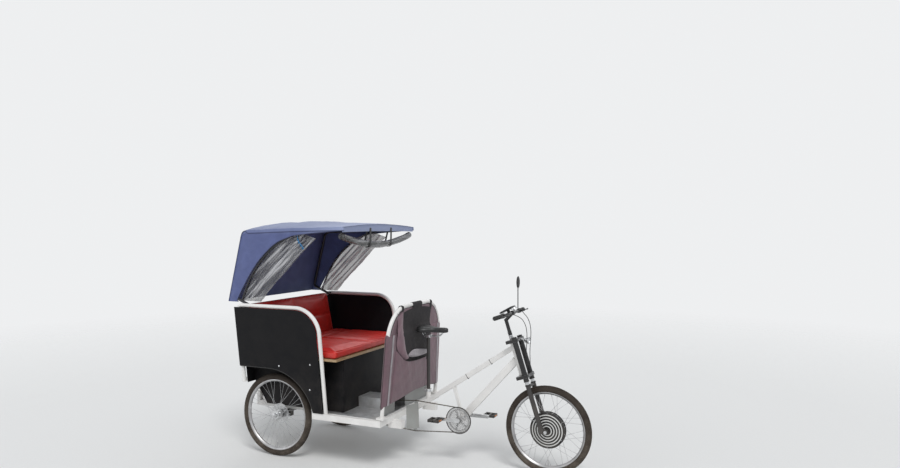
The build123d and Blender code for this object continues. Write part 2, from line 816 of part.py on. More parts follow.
# Two steel rails under the saddle, held in the clamp on the post
with BuildPart() as saddle_rails:
    for side in (-1, 1):
        with BuildLine(side_view(side * saddle_rail_y)) as saddle_rail:
            FilletPolyline(
                (saddle_rear + 34, saddle_z + 10),
                (saddle_rear + 50, rails_z),
                (saddle_rear + saddle_len - 80, rails_z),
                (saddle_rear + saddle_len - 40, saddle_z + 10),
                radius=16,
            )
        with BuildSketch(Plane(origin=saddle_rail.wires()[0] @ 0, z_dir=saddle_rail.wires()[0] % 0)):
            Circle(saddle_rail_r)
        sweep()
    split(bisect_by=Plane.XY.offset(saddle_z), keep=Keep.BOTTOM)
    with BuildSketch(Plane(origin=at(post_x, 0, rails_z - saddle_clamp_h / 2))):
        RectangleRounded(42, 2 * saddle_rail_y + 18, 6)
    extrude(amount=saddle_clamp_h)
save(saddle_rails, "saddle_rails")

with BuildPart() as saddle:
    with BuildSketch(Plane(origin=at(saddle_rear, 0, saddle_z + fit_gap))):
        with Locations((saddle_w / 2, 0)):
            Circle(saddle_w / 2)
        with Locations((saddle_len - saddle_nose_r, 0)):
            Circle(saddle_nose_r)
        make_hull()
    extrude(amount=saddle_h)
    fillet(saddle.faces().sort_by(Axis.Z)[-1].edges(), 16)
save(saddle, "saddle")

# Cranks on their spindle, the right one to the rear and the left one ahead, with the pedal pins
pin_end = crank_y + crank_t / 2 + pedal_w
with BuildPart() as cranks:
    with BuildSketch(side_view(0)):
        with Locations((bracket_x, bracket_z)):
            Circle(spindle_r)
    extrude(amount=crank_y, both=True)
    for side in (-1, 1):
        with BuildSketch(side_view(side * crank_y + crank_t / 2)):
            with Locations((bracket_x, bracket_z)):
                Circle(crank_w / 2 + 2)
            with Locations((bracket_x + side * crank_len, bracket_z)):
                Circle(crank_w / 2 - 3)
            make_hull()
        extrude(amount=crank_t)
        with BuildSketch(side_view(side * crank_y)):
            with Locations((bracket_x + side * crank_len, bracket_z)):
                Circle(pedal_pin_r)
        extrude(amount=-side * (pin_end - crank_y))
save(cranks, "cranks")

for name, side in SIDES:
    with BuildPart() as pedal:
        pedal_x = bracket_x + side * crank_len
        with BuildSketch(side_view(side * (crank_y + crank_t / 2 + run_gap))):
            with Locations((pedal_x, bracket_z)):
                RectangleRounded(pedal_len, pedal_t, 8)
                Circle(pedal_pin_r + fit_gap, mode=Mode.SUBTRACT)
        extrude(amount=-side * (pedal_w - run_gap + 4))
        window_y = side * (crank_y + crank_t / 2 + pedal_w / 2 + 4)
        with BuildSketch(Plane(origin=at(0, window_y, bracket_z - pedal_t))):
            with Locations((pedal_x - 29, 0), (pedal_x + 29, 0)):
                Rectangle(22, pedal_w - 34)
        extrude(amount=2 * pedal_t, mode=Mode.SUBTRACT)
    save(pedal, f"pedal_{name}")

# Chainring with its teeth and the round guard outside it
tooth_r = ring_pitch_r - chain_h / 2 - 0.6
with BuildPart() as chainring:
    with BuildSketch(side_view(ring_y + 1.5)):
        with Locations((bracket_x, bracket_z)):
            Circle(tooth_r - 4)
            with PolarLocations(tooth_r - 2.5, ring_teeth):
                Rectangle(5, 4)
            Circle(spindle_r + fit_gap, mode=Mode.SUBTRACT)
            with PolarLocations(tooth_r * 0.58, 5):
                Circle(21, mode=Mode.SUBTRACT)
    extrude(amount=3)
    with BuildSketch(side_view(ring_y - 1.5)):
        with Locations((bracket_x, bracket_z)):
            Circle(30)
            Circle(spindle_r + fit_gap, mode=Mode.SUBTRACT)
    extrude(amount=9)
    with BuildSketch(side_view(ring_y - 10)):
        with Locations((bracket_x, bracket_z)):
            Circle(guard_r)
            Circle(spindle_r + fit_gap, mode=Mode.SUBTRACT)
    extrude(amount=2)
save(chainring, "chainring")

# Chain: one loop round the ring, the sprocket and the two idlers
CHAIN_WHEELS = (
    (bracket_x, bracket_z, ring_pitch_r),
    (idler_high[0], idler_high[1], idler_r),
    (0, tyre_r, sprocket_pitch_r),
    (idler_low[0], idler_low[1], idler_r),
)


with BuildPart() as chain:
    with BuildSketch(side_view(ring_y + chain_w / 2)):
        with BuildLine():
            belt_line(CHAIN_WHEELS, chain_h / 2)
        make_face()
        with BuildLine():
            belt_line(CHAIN_WHEELS, -chain_h / 2)
        make_face(mode=Mode.SUBTRACT)
    extrude(amount=chain_w)
save(chain, "chain")

guard_y = ring_y - 16
with BuildPart() as chain_guard:
    with BuildSketch(side_view(guard_y)):
        with BuildLine():
            Polyline(
                (floor_front + fit_gap, idler_low[1] - 12),
                (idler_high[0] + 34, idler_low[1] + 10),
                (idler_high[0] + 26, idler_high[1] + 8),
                (floor_front + fit_gap, idler_high[1] - 24),
                close=True,
            )
        make_face()
    extrude(amount=3)
    for x, z in (idler_high, idler_low):
        with BuildSketch(side_view(guard_y)):
            with Locations((x, z)):
                Circle(5)
        extrude(amount=guard_y - ring_y - 8)
        with BuildSketch(side_view(ring_y + 3)):
            with Locations((x, z)):
                Circle(idler_r - chain_h / 2 - fit_gap)
        extrude(amount=6)
save(chain_guard, "chain_guard")

# Fork: crowns with the steerer and upper tubes, bright stanchions, lower legs with their brace
slider_top = -80
stanchion_top = -50
crown_len = leg_f + 2 * upper_tube_r + 12
crown_front = leg_f / 2 + crown_len / 2
with BuildPart(steer) as fork_crowns:
    with Locations((leg_f / 2, 0, -fit_gap), (leg_f / 2, 0, head_len + fit_gap + crown_t)):
        Box(crown_len, 2 * leg_y + 2 * upper_tube_r + 10, crown_t,
            align=(Align.CENTER, Align.CENTER, Align.MAX))
    fillet(fork_crowns.edges().filter_by(Axis(steer.origin, steer.z_dir)), 16)
    with Locations((0, 0, -fit_gap)):
        Cylinder(steerer_r, head_len + 2 * fit_gap, align=(Align.CENTER, Align.CENTER, Align.MIN))
    with Locations((leg_f, leg_y, stanchion_top), (leg_f, -leg_y, stanchion_top)):
        Cylinder(upper_tube_r, head_len + crown_t + 14 - stanchion_top,
                 align=(Align.CENTER, Align.CENTER, Align.MIN))
save(fork_crowns, "fork_crowns")

with BuildPart(steer) as stanchions:
    with Locations((leg_f, leg_y, slider_top), (leg_f, -leg_y, slider_top)):
        Cylinder(stanchion_r, stanchion_top - slider_top, align=(Align.CENTER, Align.CENTER, Align.MIN))
save(stanchions, "stanchions")

lug_t = 14
with BuildPart(steer) as fork_legs:
    with Locations((leg_f, leg_y, hub_h - 6), (leg_f, -leg_y, hub_h - 6)):
        Cylinder(slider_r, slider_top - hub_h + 6, align=(Align.CENTER, Align.CENTER, Align.MIN))
    with BuildSketch(Plane(origin=steer.from_local_coords((leg_f - 10, 0, slider_top)),
                           x_dir=(0, 1, 0), z_dir=steer.x_dir)):
        with BuildLine():
            Line((leg_y, 0), (leg_y, -30))
            ThreePointArc((leg_y, -30), (0, -16), (-leg_y, -30))
            Line((-leg_y, -30), (-leg_y, 0))
            Line((-leg_y, 0), (leg_y, 0))
        make_face()
    extrude(amount=20)
    for side in (-1, 1):
        with BuildSketch(Plane(origin=steer.from_local_coords((0, side * leg_y + lug_t / 2, 0)),
                               x_dir=steer.x_dir, z_dir=(0, -1, 0))):
            with Locations((leg_f, hub_h + 26)):
                Circle(17)
            with Locations((hub_f, hub_h)):
                Circle(15)
            make_hull()
            with Locations((hub_f, hub_h)):
                Circle(front_axle_r + 0.1, mode=Mode.SUBTRACT)
        extrude(amount=lug_t)
        with BuildSketch(Plane(origin=steer.from_local_coords((0, side * leg_y + 2 * lug_t, 0)),
                               x_dir=steer.x_dir, z_dir=(0, -1, 0))):
            with Locations((hub_f, hub_h)):
                Circle(front_axle_r + 0.1)
        extrude(amount=4 * lug_t, mode=Mode.SUBTRACT)
save(fork_legs, "fork_legs")

with BuildPart() as front_axle:
    with BuildSketch(side_view(0)):
        with Locations((wheelbase, tyre_r)):
            Circle(front_axle_r)
    extrude(amount=leg_y + lug_t + 10, both=True)
    for side in (-1, 1):
        with BuildSketch(side_view(side * (leg_y + lug_t / 2))):
            with Locations((wheelbase, tyre_r)):
                RegularPolygon(13, 6)
        extrude(amount=-side * 11)
        with BuildSketch(side_view(side * (motor_half_w + fit_gap))):
            with Locations((wheelbase, tyre_r)):
                Circle(11)
        extrude(amount=-side * (leg_y - lug_t / 2 - motor_half_w - fit_gap))
save(front_axle, "front_axle")

# Stem, handlebar and what is clamped to it
with BuildPart(steer) as stem:
    stem_low = head_len + crown_t + fit_gap
    with Locations((0, 0, stem_low)):
        Cylinder(stem_r, bar_h - 30 - stem_low, align=(Align.CENTER, Align.CENTER, Align.MIN))
    arm_start = steer.from_local_coords((-6, 0, bar_h - 42))
    arm_end = steer.from_local_coords((bar_f, 0, bar_h))
    with BuildSketch(Plane(origin=arm_start, x_dir=(0, 1, 0), z_dir=arm_end - arm_start)):
        Circle(stem_r)
    extrude(amount=(arm_end - arm_start).length)
    with BuildSketch(Plane(origin=arm_end, x_dir=steer.x_dir, z_dir=(0, -1, 0))):
        Circle(bar_r + 7)
    extrude(amount=23, both=True)
    with BuildSketch(Plane(origin=arm_end, x_dir=steer.x_dir, z_dir=(0, -1, 0))):
        Circle(bar_r + 0.1)
    extrude(amount=40, both=True, mode=Mode.SUBTRACT)
save(stem, "stem")

bar_plane = Plane(origin=steer.from_local_coords((bar_f, 0, bar_h)), x_dir=steer.x_dir, z_dir=steer.z_dir)
with BuildPart() as handlebar:
    with BuildLine(bar_plane) as bar_line:
        FilletPolyline(
            (-bar_sweep, -bar_half_w),
            (0, -90),
            (0, 90),
            (-bar_sweep, bar_half_w),
            radius=150,
        )
    with BuildSketch(Plane(origin=bar_line.wires()[0] @ 0, z_dir=bar_line.wires()[0] % 0)):
        Circle(bar_r)
    sweep()
save(handlebar, "handlebar")

sweep_angle = atan2(bar_sweep, bar_half_w - 90)


def on_bar(side, along):
    """A plane across the bar's straight end stretch, this far in from its tip, looking outwards."""
    x = -bar_sweep + along * sin(sweep_angle)
    y = side * (bar_half_w - along * cos(sweep_angle))
    out = bar_plane.from_local_coords((x - sin(sweep_angle), y + side * cos(sweep_angle), 0))
    origin = bar_plane.from_local_coords((x, y, 0))
    return Plane(origin=origin, x_dir=steer.z_dir, z_dir=out - origin)


with BuildPart() as grips:
    for side in (-1, 1):
        with BuildSketch(on_bar(side, grip_len)):
            Circle(grip_r)
            Circle(bar_r + 0.1, mode=Mode.SUBTRACT)
        extrude(amount=grip_len)
save(grips, "grips")


def lever_perch(side):
    """The plane of a brake lever's perch, in front of the bar: z looks outwards along the bar."""
    clamp_plane = on_bar(side, grip_len + 34)
    origin = clamp_plane.from_local_coords((-4, side * (bar_r + 4), 6))
    return Plane(origin=origin, x_dir=clamp_plane.x_dir, z_dir=clamp_plane.z_dir)


with BuildPart() as brake_levers:
    for side in (-1, 1):
        clamp_plane = on_bar(side, grip_len + 34)
        with BuildSketch(clamp_plane):
            Circle(bar_r + 7)
            Circle(bar_r + 0.1, mode=Mode.SUBTRACT)
        extrude(amount=26)
        perch = lever_perch(side)
        with BuildSketch(perch):
            with Locations((0, side * 14)):
                RectangleRounded(16, 36, 5)
        extrude(amount=16)
        with BuildSketch(perch.offset(8)):
            with Locations((0, side * 28)):
                RectangleRounded(10, 9, 3)
        extrude(amount=112)
save(brake_levers, "brake_levers")

# Brake cables, from the levers in a loop ahead of the bar down to the lower crown.
# Each row: square to the steering axis, left of the middle, up the axis
CABLE_ROUTE = (
    (120, 87, 443),
    (150, 62, 405),
    (159, 53, 350),
    (150, 49, 295),
    (131, 47, 240),
    (109, 46, 186),
    (91, 44, 132),
    (78, 40, 78),
    (64, 36, 30),
    (64, 36, -fit_gap),
)


def tangent_radii(points):
    """The largest radii that the bends of a route take, each 0.45 of its shorter run."""
    radii = []
    for before, corner, after in zip(points, points[1:], points[2:]):
        run_in = corner - before
        run_out = after - corner
        half_turn = radians(run_in.get_angle(run_out)) / 2
        radii.append(0.45 * min(run_in.length, run_out.length) / tan(half_turn))
    return radii


with BuildPart() as brake_cables:
    for side in (-1, 1):
        perch = lever_perch(side)
        cable_points = [perch.from_local_coords((0, side * 20, up)) for up in (0, -52)]
        cable_points += [steer.from_local_coords((f, side * y, h)) for f, y, h in CABLE_ROUTE]
        cable_radii = tangent_radii(cable_points)
        with BuildLine() as cable_line:
            FilletPolyline(*cable_points, radius=cable_radii)
        with BuildSketch(Plane(origin=cable_line.wires()[0] @ 0, z_dir=cable_line.wires()[0] % 0)):
            Circle(cable_r)
        sweep()
        print("brake cable bends, mm:", [round(radius) for radius in cable_radii])
        print("brake cable length, mm:", round(cable_line.wires()[0].length, 1))
    print("brake cables' volume over section times length:", round(brake_cables.part.volume / (2 * pi * cable_r**2 * cable_line.wires()[0].length), 4))
save(brake_cables, "brake_cables")

# The bell's dome. Each row: height, radius there, radius at the next row, in shares of the bell's radius
BELL_DOME = ((0, 1, 0.92), (0.29, 0.92, 0.7), (0.58, 0.7, 0.34))
bell_step = bell_r * 0.29
bell_base = bar_plane.from_local_coords((0, 52, bar_r + 0.2))
with BuildPart(Plane(origin=bell_base, x_dir=steer.x_dir, z_dir=steer.z_dir)) as bell:
    Cylinder(6, bell_stem + 4, align=(Align.CENTER, Align.CENTER, Align.MIN))
    for up, low_r, high_r in BELL_DOME:
        with Locations((0, 0, bell_stem + up * bell_r)):
            Cone(low_r * bell_r, high_r * bell_r, bell_step, align=(Align.CENTER, Align.CENTER, Align.MIN))
save(bell, "bell")

with BuildPart() as display:
    display_base = bar_plane.from_local_coords((-6, -62, bar_r + 0.2))
    display_plane = Plane(origin=display_base, x_dir=(0, 1, 0), z_dir=(-0.5, 0, 0.87))
    with BuildSketch(Plane(origin=display_base, x_dir=steer.x_dir, z_dir=steer.z_dir)):
        RectangleRounded(16, 22, 4)
    extrude(amount=20)
    with BuildSketch(display_plane.offset(18)):
        RectangleRounded(88, 112, 9)
    extrude(amount=12)
save(display, "display")

with BuildPart() as mirror_arm:
    ring_plane = on_bar(1, bar_half_w - mirror_y)
    with BuildSketch(ring_plane):
        Circle(bar_r + 5)
    extrude(amount=14)
    mirror_base = ring_plane.from_local_coords((0, 0, 7))
    with BuildSketch(Plane(origin=mirror_base)):
        Circle(4)
    extrude(amount=mirror_up)
    with BuildSketch(ring_plane):
        Circle(bar_r + 0.1)
    extrude(amount=14, mode=Mode.SUBTRACT)
    glass_place = mirror_base + Vector(-9, 0, mirror_up + 34)
    with BuildSketch(Plane(origin=glass_place, x_dir=(0, 1, 0), z_dir=(1, 0, 0))):
        Ellipse(32, 48)
    extrude(amount=16)
save(mirror_arm, "mirror")

with BuildPart(steer) as headlamp:
    with Locations((crown_front + fit_gap, 0, head_len + crown_t / 2)):
        Box(lamp_arm, 18, 6, align=(Align.MIN, Align.CENTER, Align.MAX))
    lamp_plane = Plane(origin=steer.from_local_coords((crown_front + lamp_arm - 12, 0, head_len - 6)),
                       x_dir=(0, 1, 0), z_dir=(1, 0, 0))
    with BuildSketch(lamp_plane):
        Circle(16)
    with BuildSketch(lamp_plane.offset(40)):
        Circle(27)
    loft()
save(headlamp, "headlamp")

# Hood. Each row: ahead, height at the side, height at the crown
HOOD_SECTIONS = (
    (-440, hood_low + 566, hood_low + 622),
    (60, hood_low + 588, hood_low + 653),
    (hood_front, hood_low + 602, hood_low + 626),
)
# The edge of the side opening, its brace and the curtain. Each row: ahead, height above the hood's foot
OPENING_EDGE = ((-302, 38), (-140, 287), (38, 455), (190, 522), (321, 546))
BRACE = ((-272, 8), (-120, 292), (48, 452), (190, 525), (330, 566))
CURTAIN_BACK = ((-290, 6), (-126, 300), (48, 460), (190, 528), (330, 546))
CURTAIN_FRONT = ((433, 512), (161, 261), (-94, 4))


def hood_points(rows):
    """Points of the hood's side view from rows of ahead and height above the hood's foot."""
    return [(ahead, hood_low + rise) for ahead, rise in rows]


rear_edge = Vector(hood_rear_top[0] + rear_reach, 0, hood_rear_top[1] - hood_low)


def hood_block(inset):
    """The hood's outer form as a solid, drawn in on every side by an inset."""
    with BuildPart() as block:
        for ahead, edge, crown in HOOD_SECTIONS:
            front_inset = inset if ahead == hood_front else 0
            with BuildSketch(Plane(origin=at(ahead - front_inset, 0, 0), x_dir=(0, 1, 0), z_dir=(1, 0, 0))):
                half = hood_half_w - inset
                low = hood_low - 3 * inset
                with BuildLine():
                    Line((-half, low), (half, low))
                    Line((half, low), (half, edge - inset))
                    ThreePointArc((half, edge - inset), (0, crown - inset), (-half, edge - inset))
                    Line((-half, edge - inset), (-half, low))
                make_face()
        loft()
        rear_plane = Plane(
            origin=at(-rear_reach, 0, hood_low),
            x_dir=(0, 1, 0),
            z_dir=(rear_edge.Z, 0, -rear_edge.X),
        ).offset(inset)
        split(bisect_by=rear_plane, keep=Keep.TOP)
    return block.part


hood_outside = hood_block(0)
hood_inside = hood_block(hood_cloth)
with BuildPart() as hood_canopy:
    add(hood_outside)
    add(hood_inside, mode=Mode.SUBTRACT)
    front_low = HOOD_SECTIONS[-1][1] - valance
    with BuildSketch(side_view(hood_half_w + 10)):
        with BuildLine():
            edge = hood_points(OPENING_EDGE)
            front_corner = (hood_front + 10, front_low + 35)
            below = hood_low - 10
            Polyline(edge[0], (edge[0][0], below), (hood_front + 10, below), front_corner, edge[4])
            ThreePointArc(edge[4], edge[3], edge[2])
            ThreePointArc(edge[2], edge[1], edge[0])
        make_face()
    extrude(amount=2 * hood_half_w + 20, mode=Mode.SUBTRACT)
save(hood_canopy, "hood_canopy")

# Hood side frames: from the arm rail back and up inside the canopy, along the roof's side, with a
# curved brace that carries the edge of the side opening
frame_y = hood_half_w - hood_cloth - fit_gap - hood_tube_r
rail_low = hood_rear_top[1] - hood_cloth - hood_tube_r - 6
rail_high = HOOD_SECTIONS[-1][1] - hood_cloth - hood_tube_r - 2
rail_front = hood_front - hood_cloth - 4
frame_foot = (-204, arm_z - 4)
frame_heel = (-368, hood_low + 42)
frame_knee = (hood_rear_top[0] + hood_tube_r + 14, rail_low)
with BuildPart() as hood_side_frames:
    for side in (-1, 1):
        with BuildLine(side_view(side * frame_y)) as frame_line:
            FilletPolyline(
                frame_foot,
                frame_heel,
                frame_knee,
                (rail_front, rail_high),
                radius=(34, hood_rear_round),
            )
        with BuildSketch(Plane(origin=frame_line.wires()[0] @ 0, z_dir=frame_line.wires()[0] % 0)):
            Circle(hood_tube_r)
        sweep()
        with BuildLine(side_view(side * frame_y)) as brace_line:
            brace = hood_points(BRACE)
            ThreePointArc(brace[0], brace[1], brace[2])
            ThreePointArc(brace[2], brace[3], brace[4])
        with BuildSketch(Plane(origin=brace_line.wires()[0] @ 0, z_dir=brace_line.wires()[0] % 0)):
            Circle(brace_r)
        sweep()
        with BuildSketch(side_view(side * (frame_y + hood_tube_r / 2))):
            with Locations((frame_foot[0] - 6, arm_z)):
                Circle(10)
        extrude(amount=-side * (side_y(arm_z) - hoop_r - frame_y - hood_tube_r / 2 - fit_gap))
save(hood_side_frames, "hood_side_frames")

# Cross bars of the hood, between its roof rails. Each row: ahead, drop from the crown to the bar's middle
CROSS_BARS = (
    (frame_knee[0] + 52, 32),
    (60, 17),
    (rail_front - hood_tube_r, 21),
)


def rail_height(ahead):
    """The height of the roof rails' middle at a distance ahead of the rear axle."""
    share = (ahead - frame_knee[0]) / (rail_front - frame_knee[0])
    return rail_low + share * (rail_high - rail_low)


def bar_height(ahead, drop):
    """The height of a cross bar's middle under the hood's crown."""
    pairs = [row for row in zip(HOOD_SECTIONS, HOOD_SECTIONS[1:]) if row[0][0] <= ahead <= row[1][0]]
    before, after = pairs[0]
    share = (ahead - before[0]) / (after[0] - before[0])
    return before[2] + share * (after[2] - before[2]) - drop


with BuildPart() as hood_crossbars:
    for ahead, drop in CROSS_BARS:
        low = rail_height(ahead)
        high = bar_height(ahead, drop)
        with BuildLine(Plane(origin=at(ahead, 0, 0), x_dir=(0, 1, 0), z_dir=(1, 0, 0))) as bar_arc:
            bar_end = frame_y - hood_tube_r - 3 * fit_gap
            ThreePointArc((-bar_end, low), (0, high), (bar_end, low))
        with BuildSketch(Plane(origin=bar_arc.wires()[0] @ 0, z_dir=bar_arc.wires()[0] % 0)):
            Circle(hood_tube_r - 1)
        sweep()
save(hood_crossbars, "hood_crossbars")

# Clear side curtains, tied back along the braces
curtain_out = frame_y - hood_tube_r - fit_gap
with BuildPart() as side_curtains:
    for side in (-1, 1):
        with BuildSketch(side_view(side * curtain_out)):
            with BuildLine():
                back = hood_points(CURTAIN_BACK)
                front = hood_points(CURTAIN_FRONT)
                ThreePointArc(back[0], back[1], back[2])
                ThreePointArc(back[2], back[3], back[4])
                Line(back[4], front[0])
                ThreePointArc(front[0], front[1], front[2])
                Line(front[2], back[0])
            make_face()
        extrude(amount=side * curtain_t)
save(side_curtains, "side_curtains")

# Rolled-up front curtain, hanging in two strap loops from the front cross bar
roll_x = rail_front - hood_tube_r - 20
roll_side_z = rail_high - 52
with BuildPart() as front_curtain:
    with BuildLine(Plane(origin=at(roll_x, 0, 0), x_dir=(0, 1, 0), z_dir=(1, 0, 0))) as roll_line:
        ThreePointArc((-roll_half_w, roll_side_z), (0, roll_mid_z), (roll_half_w, roll_side_z))
    with BuildSketch(Plane(origin=roll_line.wires()[0] @ 0, z_dir=roll_line.wires()[0] % 0)):
        Circle(roll_r)
    sweep()
save(front_curtain, "front_curtain")


def arc_height(low, high, left):
    """The height of a shallow arc across the hood at a distance left of the middle."""
    return high - (high - low) * (left / frame_y) ** 2


bar_x, bar_drop = CROSS_BARS[-1]
bar_low = rail_height(bar_x)
bar_high = bar_height(bar_x, bar_drop)
with BuildPart() as curtain_straps:
    for left in (-strap_y, strap_y):
        wheels = (
            (bar_x, arc_height(bar_low, bar_high, left), hood_tube_r - 1 + 2 * fit_gap),
            (roll_x, arc_height(roll_side_z, roll_mid_z, left), roll_r + 5 * fit_gap),
        )
        with BuildSketch(side_view(left + strap_w / 2)):
            with BuildLine():
                belt_line(wheels, strap_t)
            make_face()
            with BuildLine():
                belt_line(wheels, 0)
            make_face(mode=Mode.SUBTRACT)
        extrude(amount=strap_w)
save(curtain_straps, "curtain_straps")
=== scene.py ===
"""The looks of a cycle rickshaw: finishes for its frame and body, and its wheels, hood, curtains,
cover, cushions, chain and bar fittings as modelled pieces. Metres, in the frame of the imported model.
Places along the vehicle are given ahead of the rear axle, as they are in the part's own source.
"""
import json
import math
from math import cos, pi, radians, sin

import bpy
from mathutils import Euler, Matrix, Vector


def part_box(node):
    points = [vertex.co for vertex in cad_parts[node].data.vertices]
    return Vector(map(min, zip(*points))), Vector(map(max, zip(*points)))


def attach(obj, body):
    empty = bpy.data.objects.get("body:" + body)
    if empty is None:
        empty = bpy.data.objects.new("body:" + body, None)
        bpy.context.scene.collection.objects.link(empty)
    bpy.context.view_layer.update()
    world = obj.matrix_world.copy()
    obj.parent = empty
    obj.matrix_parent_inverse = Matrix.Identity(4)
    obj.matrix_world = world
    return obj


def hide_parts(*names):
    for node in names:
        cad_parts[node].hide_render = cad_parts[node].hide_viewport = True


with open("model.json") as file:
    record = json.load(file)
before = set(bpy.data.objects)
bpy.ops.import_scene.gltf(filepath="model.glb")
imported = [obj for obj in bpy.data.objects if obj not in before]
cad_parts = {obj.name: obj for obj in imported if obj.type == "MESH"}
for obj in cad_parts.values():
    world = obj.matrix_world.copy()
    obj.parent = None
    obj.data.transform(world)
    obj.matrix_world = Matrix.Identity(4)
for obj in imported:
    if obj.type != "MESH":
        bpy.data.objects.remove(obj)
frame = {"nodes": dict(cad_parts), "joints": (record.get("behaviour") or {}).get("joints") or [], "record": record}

bl_info = {
    "name": "Cycle rickshaw looks",
    "version": (1, 0, 0),
    "blender": (4, 5, 0),
    "location": "View3D > Sidebar > Rickshaw",
    "description": "Models and finishes the visible pieces of a cycle rickshaw round its packed frame",
    "category": "Object",
}

JOINTS = {joint["name"]: joint for joint in frame["joints"]}
AXLE_X = JOINTS["rear_left_spin"]["pos_m"][0]
FRONT_HUB = Vector(JOINTS["front_wheel_spin"]["pos_m"])
BRACKET = Vector(JOINTS["crank_spin"]["pos_m"])
STEER_FOOT = Vector(JOINTS["steering_turn"]["pos_m"])
STEER_UP = Vector(JOINTS["steering_turn"]["axis"])
STEER_AHEAD = Vector((STEER_UP.z, 0, -STEER_UP.x))
# Turns a piece that is made upright to stand square to the steering axis
STEER_TURN = Matrix((STEER_AHEAD, Vector((0, 1, 0)), STEER_UP)).transposed()
SIDES = ((-1, "right"), (1, "left"))
# Turns a cylinder's axis from upright to crossways
CROSSWAYS = (pi / 2, 0, 0)

# Camera: place ahead of the rear axle, heading and pitch in degrees, sensor and lens in millimetres
CAMERA_PLACE = (3.579, -5.054, 1.835)
CAMERA_TURN = 24.1
CAMERA_PITCH = 0.49
CAMERA_SENSOR = 36
CAMERA_LENS = 28
# How far from the middle the floor begins to fade, and where it is gone
FLOOR_FADE = (4.5, 11.0)

# Wheels: the tyre's size and its steps round the wheel and its section, the rim, the spokes of each flange, and
# the radii of the pale rings on the motor's covers
TYRE_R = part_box("tyre_front")[1].z / 2
TYRE_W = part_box("tyre_front")[1].y * 2
TYRE_STEPS = 132
TYRE_SECTION_STEPS = 20
RIM_R = 0.287
RIM_HALF_W = 0.015
RIM_FLOOR_R = 0.2662
SPOKES_A_SIDE = 18
SPOKE_END_R = 0.2672
MOTOR_RINGS = (0.034, 0.054, 0.074, 0.094, 0.114)
WHEELS = (
    ("front", FRONT_HUB, "front_wheel"),
    ("rear_right", Vector(JOINTS["rear_right_spin"]["pos_m"]), "rear_wheel_right"),
    ("rear_left", Vector(JOINTS["rear_left_spin"]["pos_m"]), "rear_wheel_left"),
)

# Hood sections: ahead, height of the roof's edge, height of the crown
HOOD_SECTIONS = ((-0.44, 1.806, 1.862), (0.06, 1.828, 1.893), (0.70, 1.842, 1.866))
# Where the roof's cross bars stand, between which its cloth sags
HOOD_BARS = (-0.185, 0.06, 0.68)
# Half the hood's width, how far its roof is folded down at its sides, and the reach of its rear bend
HOOD_HALF_W = 0.58
HOOD_DROP = 0.026
HOOD_BEND = 0.045
# The foot of the hood's rear wall and its rear corner: ahead, height
HOOD_FOOT = (-0.40, 1.24)
HOOD_CORNER = (-0.262, 1.815)
HOOD_FRONT = 0.70
# Where the painted highlight on the hood's cloth begins towards its front, and where it is brightest
HOOD_FRONT_HIGHLIGHT = (AXLE_X + 0.35, AXLE_X + 0.74)
# The edge of the hood's side opening and the two edges of the side curtain: ahead, height
OPENING = (
    (-0.302, 1.24), (-0.302, 1.278), (-0.14, 1.527), (0.038, 1.695), (0.19, 1.762), (0.321, 1.786), (0.70, 1.817),
)
CURTAIN_BACK = ((-0.290, 1.246), (-0.126, 1.54), (0.048, 1.70), (0.19, 1.768), (0.33, 1.786))
CURTAIN_FRONT = ((-0.094, 1.244), (0.02, 1.37), (0.161, 1.501), (0.30, 1.64), (0.433, 1.752))
# How far the side curtains hang from the middle
CURTAIN_Y = 0.548
# The rolled curtain's middle line, and its straps left of the middle
ROLL_ENDS_Z = 1.773
ROLL_MID_Z = 1.70
ROLL_X = 0.665
ROLL_HALF_W = 0.545
ROLL_R = 0.028
STRAPS_Y = (-0.17, 0.17)
# How far a cushion may swell, and the frames that it is given
PUFF = 0.012
PUFF_FRAMES = 20

# The leaning side panels: left of the middle and height at their foot, skin, and sideways for each metre of height
PANEL_FOOT = (0.5045, 0.392)
PANEL_OUT = 0.0211
PANEL_LEAN = 0.1398
# The front hoop's plane: its foot ahead and its height, and how far it leans ahead for each metre of height
HOOP_FOOT = (0.965, 0.392)
HOOP_LEAN = 0.0612
# The front cover: the height of its foot, its rise, half its width at its foot, and what that loses by its top
COVER_LOW = 0.47
COVER_RISE = 0.56
COVER_HALF_W = 0.4935
COVER_TAPER = 0.022

# The chain's lane left of the middle, and the wheels inside its loop: ahead, height, radius
CHAIN_LANE = -0.08
CHAIN_WHEELS = ((1.43, 0.345, 0.095), (1.06, 0.44, 0.02), (0, 0.33, 0.046), (1.05, 0.238, 0.02))
CHAIN_PITCH = 0.0127
# The chainring, how far its guard stands outside it, and the pedals' middle from the vehicle's
GUARD_OUT = 0.011
TEETH = 46
ARMS = 5
PEDAL_Y = 0.157
# The rear axle: its height, and how far its clamps and its differential's middle lie from the vehicle's
AXLE_UP = 0.33
AXLE_CLAMP_Y = 0.33
DRUM_Y = 0.020
# The main beam's two ends and the saddle's rear: ahead, height
BEAM_FOOT = (0.98, 0.351)
BEAM_HEAD = (1.8518, 0.93)
SADDLE_REAR = (1.046, 1.0005)
SADDLE_LENGTH = 0.256

# The handlebar square to the steering axis and up it, its tube's radius and the bore of what clamps it
BAR_AHEAD = 0.068
BAR_UP = 0.467
BAR_R = 0.0111
BAR_BORE = 0.0112
# The bar's ends: half the width, how far they reach back, and their sweep
BAR_HALF_W = 0.330
BAR_BACK = 0.026
BAR_SWEEP = math.atan2(26, 240)
# On the steering: the stem's foot, the lamp's bracket, the display and the fork's legs
STEM_FOOT = 0.2760
LAMP_BRACKET = (0.070, 0, 0.2637)
DISPLAY_LEFT = -0.062
FORK_LEG_AHEAD = 0.044
FORK_LEG_Y = 0.066


def place(ahead, left, up):
    """A point given ahead of the rear axle, left of the middle and above the ground."""
    return Vector((AXLE_X + ahead, left, up))


